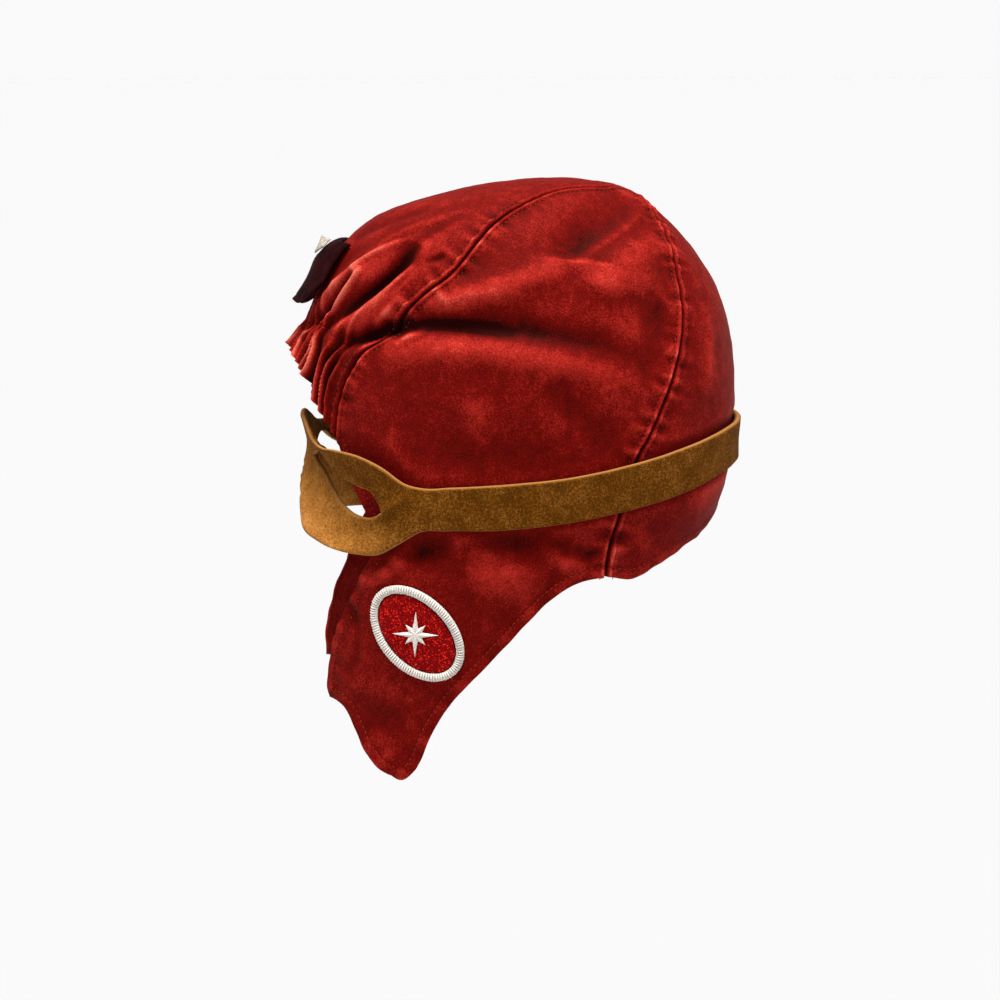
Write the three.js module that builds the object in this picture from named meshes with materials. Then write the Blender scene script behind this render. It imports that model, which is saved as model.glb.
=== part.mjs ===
// Aviator hat: a soft cloth flying cap with ear flaps, and a one-piece felt goggle mask round it.
// Lengths are millimetres, +Z is up, the face looks along -Y and the wearer's left is +X.
// The origin is the inside of the top of the crown, on the middle plane of the head.
import * as THREE from 'three';

// Head that the cap is worn on: length brow to nape, width over the ears, height of the crown
// from its top down to the level of the ears, and the drop from there to the end of the flaps.
const headLength = 209;
const headWidth = 162;
const crownDrop = 144;
const flapDrop = 155;

// Walls and the clearance that sewn pieces keep.
const clothWall = 2;
const feltWall = 3;
const seamGap = 0.35;
const layerGap = 0.4;

// Folds, gathers and seams.
const foldDepth = 5;
const foldSpread = 10;
const seamDepth = 1;
const seamSpread = 4;
const pleatCount = 13;
const pleatDepth = 1.7;
const brimFlare = 7;
const brimPleatRise = 1.5;
const strapPinch = 0.8;

// Felt mask and strap.
const dishDepth = 7;

// Oval patch on the left flap.
const patchLength = 54;
const patchWidth = 36;
const patchBorder = 4;
const patchWall = 1.2;
const patchBorderWall = 1.8;
const starReach = 11;
const starWall = 0.8;

// Tab above the brow and the pale badge on it.
const tabWidth = 40;
const tabLength = 38;
const tabWall = 2.5;
const tabLift = 7.5;
const badgeWidth = 14;
const badgeLength = 13;
const badgeWall = 1.2;

// Cross sections of the worn cap, from the top of the crown to the end of the flaps.
// down is the way along the cloth: 0 at the top, 1 at the ears, 2 at the last section. drop is
// the height below the top in the same steps, as shares of crownDrop and then of flapDrop.
// half is a share of half the head width, front and back are shares of half the head length,
// and square is the exponent of the oval: 2 is an ellipse, more is squarer.
const sections = [
  { down: 0, drop: 0, half: 0, front: -0.191, back: 0.191, square: 2 },
  { down: 0.16, drop: 0.038, half: 0.42, front: 0.258, back: 0.507, square: 2.05 },
  { down: 0.305, drop: 0.132, half: 0.679, front: 0.651, back: 0.69, square: 2.1 },
  { down: 0.43, drop: 0.264, half: 0.827, front: 0.842, back: 0.85, square: 2.12 },
  { down: 0.57, drop: 0.431, half: 0.926, front: 0.938, back: 0.967, square: 2.15 },
  { down: 0.71, drop: 0.618, half: 0.981, front: 0.986, back: 1.014, square: 2.2 },
  { down: 0.86, drop: 0.8125, half: 1, front: 0.986, back: 1.014, square: 2.25 },
  { down: 1, drop: 1, half: 0.988, front: 0.976, back: 0.981, square: 2.3 },
  { down: 1.225, drop: 1.226, half: 0.951, front: 0.976, back: 0.852, square: 2.45 },
  { down: 1.515, drop: 1.516, half: 0.901, front: 0.976, back: 0.813, square: 2.7 },
  { down: 2, drop: 2, half: 0.84, front: 0.967, back: 0.794, square: 2.9 },
];

// Seams and edges of the left half, as down and bearing. A bearing is in degrees round the head:
// -90 is the middle of the brow, 0 the left ear and 90 the middle of the nape.
const crownSeam = [
  [0.15, 90], [0.129, 51], [0.14, 7], [0.232, -10], [0.345, -16], [0.442, -22],
  [0.496, -29], [0.555, -36], [0.605, -40], [0.643, -46], [0.67, -48],
];
const templeSeam = [[0.67, -48], [0.693, -50], [0.769, -54], [0.84, -55.5], [0.872, -56]];
const napeSeam = [
  [0.15, 90], [0.2, 79], [0.291, 68], [0.41, 54], [0.537, 47], [0.629, 43], [0.74, 37],
  [0.855, 31], [0.906, 28], [1.045, 25], [1.138, 25], [1.24, 26],
];
const elasticLine = [[0.67, -48], [0.63, -56], [0.6, -66], [0.6, -78], [0.606, -90]];
const brimLine = [
  [0.872, -56], [0.85, -57.3], [0.818, -59.5], [0.775, -62], [0.737, -66], [0.695, -75.5],
  [0.675, -90],
];
const templeHem = [[0.872, -56], [0.97, -50], [1.055, -44], [1.126, -41], [1.177, -41]];
const flapFrontHem = [
  [1.177, -41], [1.29, -46], [1.407, -52], [1.492, -55], [1.59, -57], [1.642, -56],
];
const flapTipFront = [[1.642, -56], [1.668, -48], [1.77, -42], [1.835, -37], [1.862, -33]];
const flapRearHem = [
  [1.24, 26], [1.262, 17], [1.31, 11], [1.377, 5], [1.45, -1], [1.532, -8], [1.66, -18],
];
const flapTipRear = [[1.66, -18], [1.742, -22], [1.8, -24], [1.842, -26]];
const napeHem = [[1.24, 26], [1.254, 35], [1.206, 46], [1.171, 56], [1.14, 66], [1.105, 90]];

// Folds of the left half, which the right half mirrors. Each runs through three places given as
// down and bearing. rise is a share of foldDepth, below zero for a valley, and spread a share of
// foldSpread.
const folds = [
  { from: [0.516, -33], by: [0.467, -7], to: [0.504, 27], rise: 0.5, spread: 0.85 },
  { from: [0.64, -57], by: [0.59, -28], to: [0.638, 34], rise: -1.05, spread: 0.9 },
  { from: [0.642, -34], by: [0.66, -3], to: [0.708, 23], rise: 0.4, spread: 1 },
  { from: [0.246, 63], by: [0.355, 29], to: [0.418, 14], rise: -0.75, spread: 0.85 },
  { from: [0.35, 55], by: [0.417, 31], to: [0.489, 18], rise: 0.45, spread: 1 },
  { from: [0.523, 40], by: [0.584, 35], to: [0.645, 38], rise: -0.4, spread: 0.55 },
  { from: [0.715, 3], by: [0.79, 13], to: [0.86, 24], rise: -0.3, spread: 0.75 },
  { from: [0.74, -15], by: [0.8, -14], to: [0.87, -10], rise: 0.25, spread: 1.1 },
  { from: [1.11, 2], by: [1.147, 14], to: [1.158, 23], rise: -0.35, spread: 0.6 },
  { from: [1.2, -24], by: [1.16, -16], to: [1.14, -6], rise: -0.45, spread: 0.8 },
  { from: [1.2, -10], by: [1.24, -1], to: [1.271, 8], rise: 0.5, spread: 1.2 },
  { from: [1.39, -51], by: [1.36, -45], to: [1.345, -40], rise: -0.35, spread: 0.5 },
  { from: [1.22, -34], by: [1.27, -39], to: [1.35, -46], rise: 0.35, spread: 0.8 },
  { from: [1.61, -46], by: [1.67, -38], to: [1.69, -28], rise: -0.3, spread: 0.9 },
  { from: [0.623, -59], by: [0.542, -46], to: [0.423, -26], rise: 0.6, spread: 0.5 },
  { from: [0.592, -63], by: [0.513, -51], to: [0.405, -40], rise: -0.85, spread: 0.6 },
  { from: [0.562, -71], by: [0.461, -60], to: [0.357, -47], rise: 0.6, spread: 0.6 },
  { from: [0.539, -77], by: [0.45, -72], to: [0.36, -62], rise: -0.3, spread: 0.6 },
  { from: [0.514, -27], by: [0.412, -20], to: [0.313, -10], rise: 0.25, spread: 0.4 },
  { from: [0.534, 58], by: [0.66, 55], to: [0.775, 52], rise: 0.2, spread: 1.2 },
  { from: [0.9, 75], by: [0.97, 60], to: [1.05, 48], rise: 0.3, spread: 1.4 },
];

// Felt mask and strap of the left half at chosen bearings, as down values of its top edge and
// bottom edge. The dishes are how far its edges and its middle stand out from the head or are
// pressed in to the face, as shares of dishDepth.
const bandEdges = [
  { bearing: -90, top: 0.838, bottom: 0.928, dishTop: -0.29, dishMiddle: -0.63, dishBottom: -0.84 },
  { bearing: -84, top: 0.837, bottom: 0.95, dishTop: -0.25, dishMiddle: -0.68, dishBottom: -0.45 },
  { bearing: -78, top: 0.838, bottom: 1.02, dishTop: -0.15, dishMiddle: -0.72, dishBottom: 0.2 },
  { bearing: -71, top: 0.855, bottom: 1.09, dishTop: -0.02, dishMiddle: -0.62, dishBottom: 0.52 },
  { bearing: -65, top: 0.876, bottom: 1.125, dishTop: 0.15, dishMiddle: -0.42, dishBottom: 0.6 },
  { bearing: -58, top: 0.888, bottom: 1.146, dishTop: 0.35, dishMiddle: -0.2, dishBottom: 0.55 },
  { bearing: -50, top: 0.887, bottom: 1.163, dishTop: 0.45, dishMiddle: 0, dishBottom: 0.45 },
  { bearing: -43, top: 0.896, bottom: 1.169, dishTop: 0.4, dishMiddle: 0, dishBottom: 0.35 },
  { bearing: -37, top: 0.921, bottom: 1.164, dishTop: 0.25, dishMiddle: 0, dishBottom: 0.2 },
  { bearing: -32, top: 0.955, bottom: 1.127, dishTop: 0.1, dishMiddle: 0, dishBottom: 0.1 },
  { bearing: -27, top: 0.966, bottom: 1.087, dishTop: 0, dishMiddle: 0, dishBottom: 0 },
  { bearing: -20, top: 0.962, bottom: 1.08, dishTop: 0, dishMiddle: 0, dishBottom: 0 },
  { bearing: -6, top: 0.953, bottom: 1.076, dishTop: 0, dishMiddle: 0, dishBottom: 0 },
  { bearing: 9, top: 0.94, bottom: 1.06, dishTop: 0, dishMiddle: 0, dishBottom: 0 },
  { bearing: 25, top: 0.915, bottom: 1.032, dishTop: 0, dishMiddle: 0, dishBottom: 0 },
  { bearing: 43, top: 0.882, bottom: 0.996, dishTop: 0, dishMiddle: 0, dishBottom: 0 },
  { bearing: 57, top: 0.86, bottom: 0.968, dishTop: 0, dishMiddle: 0, dishBottom: 0 },
  { bearing: 72, top: 0.848, bottom: 0.95, dishTop: 0, dishMiddle: 0, dishBottom: 0.1 },
  { bearing: 90, top: 0.842, bottom: 0.942, dishTop: 0, dishMiddle: 0, dishBottom: 0.15 },
];

// Left eye hole, as down values of its upper and lower edge from its inner to its outer corner.
const eyeHole = [
  { bearing: -75, upper: 0.928, lower: 0.928 },
  { bearing: -72, upper: 0.918, lower: 0.936 },
  { bearing: -66, upper: 0.91, lower: 0.945 },
  { bearing: -62, upper: 0.917, lower: 0.958 },
  { bearing: -57, upper: 0.939, lower: 0.994 },
  { bearing: -52, upper: 0.957, lower: 1.026 },
  { bearing: -46, upper: 0.974, lower: 1.049 },
  { bearing: -41, upper: 0.989, lower: 1.052 },
  { bearing: -37.5, upper: 1.033, lower: 1.033 },
];

// How far the tab above the brow stands off the cloth along its length, as a share of tabLift.
const tabLifts = [
  { along: 0, lift: 0 },
  { along: 0.1, lift: 0.3 },
  { along: 0.3, lift: 0.52 },
  { along: 0.65, lift: 0.54 },
  { along: 0.85, lift: 0.78 },
  { along: 1, lift: 1 },
];

// Colours as they show on the cloth, the felt, the patch and the tab.
const redSuede = new THREE.MeshStandardMaterial({ color: 0xa3241b, roughness: 0.95, metalness: 0 });
const tanFelt = new THREE.MeshStandardMaterial({ color: 0xa8692c, roughness: 1, metalness: 0 });
const redThread = new THREE.MeshStandardMaterial({ color: 0xb01218, roughness: 0.6, metalness: 0 });
const whiteThread = new THREE.MeshStandardMaterial({ color: 0xd8d2c8, roughness: 0.8, metalness: 0 });
const oxblood = new THREE.MeshStandardMaterial({ color: 0x3a0a0c, roughness: 0.7, metalness: 0 });

const degree = Math.PI / 180;
const brow = -90;
const nape = 90;

// Value of one column of a table at a place between its rows, on a smooth curve through them.
// A table that starts at its key's zero goes on past it, mirrored, so that the crown is rounded.
function column(table, key, name, place, mirroredSign = 0) {
  const rows = table.map((row) => ({ at: row[key], value: row[name] }));
  if (mirroredSign !== 0) {
    const centre = rows[0].value;
    const ghost = centre + mirroredSign * (rows[1].value - centre);
    rows.unshift({ at: -rows[1].at, value: ghost });
  }
  let index = mirroredSign !== 0 ? 1 : 0;
  while (index < rows.length - 2 && place > rows[index + 1].at) index += 1;
  const slope = (i) => {
    const before = rows[Math.max(i - 1, 0)];
    const after = rows[Math.min(i + 1, rows.length - 1)];
    const here = rows[i];
    if (before === here || after === here) {
      return (after.value - before.value) / (after.at - before.at);
    }
    const stepBefore = here.at - before.at;
    const stepAfter = after.at - here.at;
    const slopeBefore = (here.value - before.value) / stepBefore;
    const slopeAfter = (after.value - here.value) / stepAfter;
    return (slopeBefore * stepAfter + slopeAfter * stepBefore) / (stepBefore + stepAfter);
  };
  const start = rows[index];
  const end = rows[index + 1];
  const step = end.at - start.at;
  const share = THREE.MathUtils.clamp((place - start.at) / step, 0, 1);
  const square = share * share;
  const cube = square * share;
  return (2 * cube - 3 * square + 1) * start.value
    + (cube - 2 * square + share) * step * slope(index)
    + (3 * square - 2 * cube) * end.value
    + (cube - square) * step * slope(index + 1);
}

// A spot is a point of a flat chart of the cap: its distance from the middle is down, and its
// direction is the bearing. The chart has no pole, so pieces can cross the top of the crown.
const spotAt = ([down, bearing]) => new THREE.Vector2(
  down * Math.cos(bearing * degree),
  down * Math.sin(bearing * degree),
);
const bearingOf = (spot) => Math.atan2(spot.y, spot.x) / degree;
const mirrorSpot = (spot) => new THREE.Vector2(-spot.x, spot.y);

// Where a spot lies on the smooth outside of the cap, without folds.
function headPoint(spot) {
  const down = spot.length();
  const turn = Math.atan2(spot.y, spot.x);
  const drop = column(sections, 'down', 'drop', down, 1);
  const half = column(sections, 'down', 'half', down, -1) * headWidth / 2;
  const front = column(sections, 'down', 'front', down, -1) * headLength / 2;
  const back = column(sections, 'down', 'back', down, -1) * headLength / 2;
  const square = column(sections, 'down', 'square', down, 1);
  const across = Math.abs(Math.cos(turn)) ** square;
  const along = Math.abs(Math.sin(turn)) ** square;
  const reach = (across + along) ** (-1 / square);
  const height = drop < 1 ? drop * crownDrop : crownDrop + (drop - 1) * flapDrop;
  return new THREE.Vector3(
    half * reach * Math.cos(turn),
    (back - front) / 2 + (back + front) / 2 * reach * Math.sin(turn),
    clothWall - height,
  );
}

// Outward direction of the smooth cap at a spot.
function headNormal(spot) {
  const step = 0.004;
  const shifted = (u, v) => headPoint(new THREE.Vector2(spot.x + u, spot.y + v));
  const alongU = shifted(step, 0).sub(shifted(-step, 0));
  const alongV = shifted(0, step).sub(shifted(0, -step));
  return alongU.cross(alongV).normalize();
}

// Smooth curve through listed places, returned as a function of the share of its length.
function edgeCurve(places) {
  const curve = new THREE.SplineCurve(places.map(spotAt));
  return (share) => curve.getPointAt(share);
}

// Points of a fold or seam on the smooth cap, for measuring how near a place is to it.
function tracedLine(places, count) {
  const curve = new THREE.SplineCurve(places.map(spotAt));
  return Array.from({ length: count + 1 }, (_, i) => headPoint(curve.getPoint(i / count)));
}

const foldSteps = 10;
const foldLines = folds.map((fold) => ({
  points: tracedLine([fold.from, fold.by, fold.to], foldSteps),
  rise: fold.rise * foldDepth,
  spread: fold.spread * foldSpread,
}));
const seamSteps = 24;
const seamLines = [
  tracedLine([...crownSeam, ...templeSeam.slice(1)], seamSteps),
  tracedLine(napeSeam, seamSteps),
];

// Nearest distance from a point to a traced line, and the share of the line where that is.
function nearLine(point, line) {
  let best = { distance: Infinity, share: 0 };
  const leg = new THREE.Line3();
  const foot = new THREE.Vector3();
  for (let i = 0; i + 1 < line.length; i += 1) {
    leg.set(line[i], line[i + 1]);
    const share = leg.closestPointToPointParameter(point, true);
    leg.at(share, foot);
    const distance = foot.distanceTo(point);
    if (distance < best.distance) best = { distance, share: (i + share) / (line.length - 1) };
  }
  return best;
}

// 1 where the felt presses the cloth flat, 0 away from it. The cloth is calm out to the first
// share of the felt's half width, and has its folds again from the second.
const bandCalm = { from: 1.1, to: 1.6 };
function underBand(spot) {
  const bearing = THREE.MathUtils.clamp(leftBearing(spot), brow, nape);
  const top = column(bandEdges, 'bearing', 'top', bearing);
  const bottom = column(bandEdges, 'bearing', 'bottom', bearing);
  const away = Math.abs(spot.length() - (top + bottom) / 2) / ((bottom - top) / 2);
  return 1 - THREE.MathUtils.smoothstep(away, bandCalm.from, bandCalm.to);
}
const leftBearing = (spot) => bearingOf(new THREE.Vector2(Math.abs(spot.x), spot.y));

// 1 under the patch, 0 away from it, with the same kind of shares of the patch's half length.
const patchMiddle = spotAt([1.407, -26]);
const patchTurn = 45;
const patchCalm = { from: 1, to: 1.4 };
function underPatch(spot) {
  if (spot.x < 0) return 0;
  const away = headPoint(spot).distanceTo(headPoint(patchMiddle)) / (patchLength / 2);
  return 1 - THREE.MathUtils.smoothstep(away, patchCalm.from, patchCalm.to);
}

// Height of the folds and of the sunk seams over the smooth cap at a spot.
function relief(spot) {
  const places = [headPoint(spot), headPoint(mirrorSpot(spot))];
  let height = 0;
  for (const fold of foldLines) {
    for (const place of places) {
      const near = nearLine(place, fold.points);
      const ends = Math.sqrt(Math.max(4 * near.share * (1 - near.share), 0));
      height += fold.rise * ends * Math.exp(-((near.distance / fold.spread) ** 2));
    }
  }
  const still = Math.max(underBand(spot), underPatch(spot));
  height *= 1 - still;
  const seam = Math.min(...places.flatMap(
    (place) => seamLines.map((line) => nearLine(place, line).distance),
  ));
  height -= seamDepth * Math.exp(-((seam / seamSpread) ** 2));
  return height - strapPinch * underBand(spot);
}

// Sheets: a sheet holds its outer points, their outward directions and its triangles.
class Sheet {
  constructor() {
    this.points = [];
    this.normals = [];
    this.triangles = [];
    this.known = new Map();
  }

  add(point, normal) {
    const key = point.toArray().map((value) => Math.round(value * 1000)).join();
    if (!this.known.has(key)) {
      this.known.set(key, this.points.length);
      this.points.push(point.clone());
      this.normals.push(normal.clone());
    }
    return this.known.get(key);
  }

  // Triangle whose face looks the way of its outward directions.
  face(a, b, c) {
    if (a === b || b === c || a === c) return;
    const side = this.points[b].clone().sub(this.points[a])
      .cross(this.points[c].clone().sub(this.points[a]));
    const outward = this.normals[a].clone().add(this.normals[b]).add(this.normals[c]);
    this.triangles.push(side.dot(outward) > 0 ? [a, b, c] : [a, c, b]);
  }

  // Four-sided face, split along its shorter diagonal.
  quad(a, b, c, d) {
    const shortAC = this.points[a].distanceTo(this.points[c]);
    const shortBD = this.points[b].distanceTo(this.points[d]);
    if (shortAC <= shortBD) {
      this.face(a, b, c);
      this.face(a, c, d);
    } else {
      this.face(a, b, d);
      this.face(b, c, d);
    }
  }

  // Grid of points, given as a function of two shares, where place() returns point and normal.
  grid(rows, columns, place) {
    const indices = rows.map((row) => columns.map((share) => {
      const { point, normal } = place(row, share);
      return this.add(point, normal);
    }));
    for (let i = 0; i + 1 < rows.length; i += 1) {
      for (let j = 0; j + 1 < columns.length; j += 1) {
        this.quad(indices[i][j], indices[i][j + 1], indices[i + 1][j + 1], indices[i + 1][j]);
      }
    }
    return this;
  }

  // Edges with a face on one side only, in the direction that keeps the sheet on their left.
  openEdges() {
    const count = new Map();
    for (const [a, b, c] of this.triangles) {
      for (const [from, to] of [[a, b], [b, c], [c, a]]) count.set(`${from},${to}`, [from, to]);
    }
    return [...count.values()].filter(([from, to]) => !count.has(`${to},${from}`));
  }

  // Draw the sheet's open edges in by half a gap, so that sewn neighbours don't touch.
  drawIn(distance) {
    const inward = new Map();
    for (const [from, to] of this.openEdges()) {
      const along = this.points[to].clone().sub(this.points[from]).normalize();
      for (const index of [from, to]) {
        const side = this.normals[index].clone().cross(along).normalize();
        if (!inward.has(index)) inward.set(index, []);
        inward.get(index).push(side);
      }
    }
    for (const [index, sides] of inward) {
      const sum = sides.reduce((total, side) => total.add(side), new THREE.Vector3());
      const miter = sides.length === 2 ? Math.max(1 + sides[0].dot(sides[1]), 0.3) : 1;
      this.points[index].addScaledVector(sum, distance / miter);
    }
    return this;
  }

  // Closed solid of the given wall, which lies under the sheet.
  thicken(wall) {
    const count = this.points.length;
    const inner = this.points.map((p, i) => p.clone().addScaledVector(this.normals[i], -wall));
    const faces = [];
    for (const [a, b, c] of this.triangles) {
      faces.push([a, b, c], [a + count, c + count, b + count]);
    }
    for (const [from, to] of this.openEdges()) {
      faces.push([from, from + count, to + count], [from, to + count, to]);
    }
    const geometry = new THREE.BufferGeometry();
    const positions = [...this.points, ...inner].flatMap((p) => p.toArray());
    geometry.setAttribute('position', new THREE.Float32BufferAttribute(positions, 3));
    geometry.setIndex(faces.flat());
    geometry.computeVertexNormals();
    return geometry;
  }
}

const shares = (count) => Array.from({ length: count + 1 }, (_, i) => i / count);
const lerp = THREE.MathUtils.lerp;

// Point of the cloth at a spot, with its folds and any extra height.
function clothPoint(spot, extra = 0) {
  const normal = headNormal(spot);
  const point = headPoint(spot).addScaledVector(normal, relief(spot) + extra);
  return { point, normal };
}

// Spot between two others, going straight in down and bearing.
function spotBetween(a, b, share) {
  let turn = bearingOf(b) - bearingOf(a);
  if (turn < -180) turn += 360;
  return spotAt([lerp(a.length(), b.length(), share), bearingOf(a) + turn * share]);
}

// Rows shared by the pieces that meet along a seam, so that their facets match.
const crownRows = 15;
const templeRows = 4;
const hemRows = 4;
const flapRows = 7;
const tipRows = 3;
const apexShare = 0.006;
const sideColumns = 16;
const frontColumns = 24;
const backColumns = 12;
const pleatColumns = 5;

// A side of a piece, made of stretches that each have a number of rows.
function sideOf(stretches) {
  const spots = [];
  for (const { curve, rows, from = 0, to = 1 } of stretches) {
    for (let i = spots.length > 0 ? 1 : 0; i <= rows; i += 1) {
      spots.push(curve(lerp(from, to, i / rows)));
    }
  }
  return spots;
}

const crownSeamCurve = edgeCurve(crownSeam);
const templeSeamCurve = edgeCurve(templeSeam);
const napeSeamCurve = edgeCurve(napeSeam);
const napeRowsAtTemple = 0.5;
const napeRowsAtBrow = 0.64;
const napeSeamSpots = sideOf([
  { curve: napeSeamCurve, rows: crownRows, from: apexShare, to: napeRowsAtTemple },
  { curve: napeSeamCurve, rows: templeRows, from: napeRowsAtTemple, to: napeRowsAtBrow },
  { curve: napeSeamCurve, rows: hemRows, from: napeRowsAtBrow, to: 1 },
]);
const crownSeamSpots = sideOf([{ curve: crownSeamCurve, rows: crownRows, from: apexShare }]);

// Side panel: crown side and ear flap in one cloth, from the crown's apex to the flap's tip.
function sidePanel() {
  const front = [
    ...crownSeamSpots,
    ...sideOf([
      { curve: templeSeamCurve, rows: templeRows },
      { curve: edgeCurve(templeHem), rows: hemRows },
      { curve: edgeCurve(flapFrontHem), rows: flapRows },
      { curve: edgeCurve(flapTipFront), rows: tipRows },
    ]).slice(1),
  ];
  const rear = [
    ...napeSeamSpots,
    ...sideOf([
      { curve: edgeCurve(flapRearHem), rows: flapRows },
      { curve: edgeCurve(flapTipRear), rows: tipRows },
    ]).slice(1),
  ];
  const tipBulge = 0.022;
  const place = (row, share) => {
    const spot = spotBetween(front[row], rear[row], share);
    const atTip = row === front.length - 1 ? tipBulge : 0;
    spot.setLength(spot.length() + atTip * Math.sin(share * Math.PI));
    return clothPoint(spot);
  };
  const rows = front.map((_, i) => i);
  return new Sheet().grid(rows, shares(sideColumns), place).drawIn(seamGap / 2);
}

// Front panel: from the apex over the top of the crown to the elastic above the brow.
function frontPanel() {
  const elastic = edgeCurve(elasticLine);
  const elasticSpot = (share) => (
    share <= 0.5 ? elastic(share * 2) : mirrorSpot(elastic((1 - share) * 2))
  );
  const last = crownSeamSpots[crownRows];
  const place = (row, share) => {
    const left = crownSeamSpots[row];
    const spot = left.clone().lerp(mirrorSpot(left), share);
    const straight = last.clone().lerp(mirrorSpot(last), share);
    const bend = (row / crownRows) ** 3;
    spot.addScaledVector(elasticSpot(share).sub(straight), bend);
    return clothPoint(spot);
  };
  const rows = crownSeamSpots.map((_, i) => i);
  return new Sheet().grid(rows, shares(frontColumns), place).drawIn(seamGap / 2);
}

// Back panel: from the apex down between the two nape seams to the nape hem.
function backPanel() {
  const hem = edgeCurve(napeHem);
  const hemSpot = (share) => (share <= 0.5 ? hem(share * 2) : mirrorSpot(hem((1 - share) * 2)));
  const lastRow = napeSeamSpots.length - 1;
  const last = napeSeamSpots[lastRow];
  const place = (row, share) => {
    const left = napeSeamSpots[row];
    const spot = spotBetween(left, mirrorSpot(left), share);
    const straight = spotBetween(last, mirrorSpot(last), share);
    const bend = (row / lastRow) ** 2;
    spot.addScaledVector(hemSpot(share).sub(straight), bend);
    return clothPoint(spot);
  };
  const rows = napeSeamSpots.map((_, i) => i);
  return new Sheet().grid(rows, shares(backColumns), place).drawIn(seamGap / 2);
}

// Gathered brow: the front panel's edge, pleated by elastic and standing out as a frill.
function browGather() {
  const top = edgeCurve(elasticLine);
  const bottom = edgeCurve(brimLine);
  const seam = edgeCurve(templeSeam);
  const place = (row, share) => {
    const fromSeam = share <= 0.5 ? share * 2 : (1 - share) * 2;
    const spot = top(fromSeam).lerp(bottom(fromSeam), row);
    const straight = top(0).lerp(bottom(0), row);
    spot.addScaledVector(seam(row).sub(straight), (1 - fromSeam) ** 4);
    const opened = THREE.MathUtils.smoothstep(fromSeam, 0, 0.3);
    const wave = Math.cos(share * pleatCount * 2 * Math.PI);
    const pleat = pleatDepth * opened * (0.6 + 0.4 * row) * wave;
    const middle = lerp(0.7, 1, THREE.MathUtils.smoothstep(fromSeam, 0.5, 1));
    const flare = brimFlare * opened * middle * row ** 1.5;
    const edgeRise = brimPleatRise * opened * row ** 2 * wave;
    const onHead = share <= 0.5 ? spot : mirrorSpot(spot);
    const placed = clothPoint(onHead, pleat + flare);
    placed.point.z += edgeRise;
    return placed;
  };
  const columns = shares(pleatCount * pleatColumns);
  return new Sheet().grid(shares(templeRows), columns, place).drawIn(seamGap / 2);
}

// Felt band: mask front with two eye holes and a strap, one closed loop round the head.
function goggleBand() {
  const sheet = new Sheet();
  const hole = { inner: eyeHole[0].bearing, outer: eyeHole[eyeHole.length - 1].bearing };
  const holeColumns = shares(12).map((share) => (
    lerp(hole.inner, hole.outer, 0.5 - 0.5 * Math.cos(share * Math.PI))
  ));
  const strapColumns = 19;
  const dishCurve = 1.3;
  const bearings = [
    -90, -84, ...holeColumns, -34, -30,
    ...shares(strapColumns).map((share) => lerp(-25, nape, share)),
  ];
  const place = (down, bearing, across, side) => {
    const spot = spotAt([down, bearing]);
    const dishEdge = across < 0.5 ? 'dishTop' : 'dishBottom';
    const edge = column(bandEdges, 'bearing', dishEdge, bearing);
    const middle = column(bandEdges, 'bearing', 'dishMiddle', bearing);
    const dish = lerp(middle, edge, Math.abs(across * 2 - 1) ** dishCurve);
    const normal = headNormal(spot);
    const point = headPoint(spot);
    point.addScaledVector(normal, layerGap + feltWall + dishDepth * dish);
    point.x *= side;
    normal.x *= side;
    return { point, normal };
  };
  const atHole = (bearing, name, straight) => (
    bearing < hole.inner || bearing > hole.outer
      ? straight
      : column(eyeHole, 'bearing', name, bearing)
  );
  for (const side of [1, -1]) {
    for (const half of [0, 1]) {
      const rows = [0, 0.5, 1];
      sheet.grid(bearings, rows, (bearing, share) => {
        const top = column(bandEdges, 'bearing', 'top', bearing);
        const bottom = column(bandEdges, 'bearing', 'bottom', bearing);
        const corner = bearing < hole.inner ? eyeHole[0].upper : eyeHole[eyeHole.length - 1].upper;
        const blend = THREE.MathUtils.smoothstep(bearing, hole.outer, -20);
        const front = THREE.MathUtils.smoothstep(-bearing, -hole.inner, 90);
        const middle = lerp(corner, (top + bottom) / 2, Math.max(blend, front));
        const upper = atHole(bearing, 'upper', middle);
        const lower = atHole(bearing, 'lower', middle);
        const down = half === 0 ? lerp(top, upper, share) : lerp(lower, bottom, share);
        return place(down, bearing, (half + share) / 2, side);
      });
    }
  }
  return sheet;
}

// Spot at a distance from a middle, with forward and downward millimetres on the cloth.
function spotFrom(middle, across, downward) {
  const down = middle.length();
  const bearing = bearingOf(middle);
  const turnStep = 0.5;
  const downStep = 0.01;
  const here = headPoint(middle);
  const perTurn = headPoint(spotAt([down, bearing + turnStep])).distanceTo(here) / turnStep;
  const perDown = headPoint(spotAt([down + downStep, bearing])).distanceTo(here) / downStep;
  return spotAt([down + downward / perDown, bearing + across / perTurn]);
}

// Spot of the patch at a share of its reach and a direction round it.
function patchSpot(reach, turn, inset = 0) {
  const along = (patchLength / 2 - inset) * reach * Math.cos(turn);
  const across = (patchWidth / 2 - inset) * reach * Math.sin(turn);
  const tilt = patchTurn * degree;
  return spotFrom(
    patchMiddle,
    along * Math.cos(tilt) - across * Math.sin(tilt),
    along * Math.sin(tilt) + across * Math.cos(tilt),
  );
}

// Part of the patch between rings, each with its reach and its inset from the patch's edge.
function patchDisc(rings, sides, height) {
  return new Sheet().grid(rings, shares(sides), ({ reach, inset }, share) => (
    clothPoint(patchSpot(reach, share * 2 * Math.PI, inset), height)
  ));
}

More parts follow.
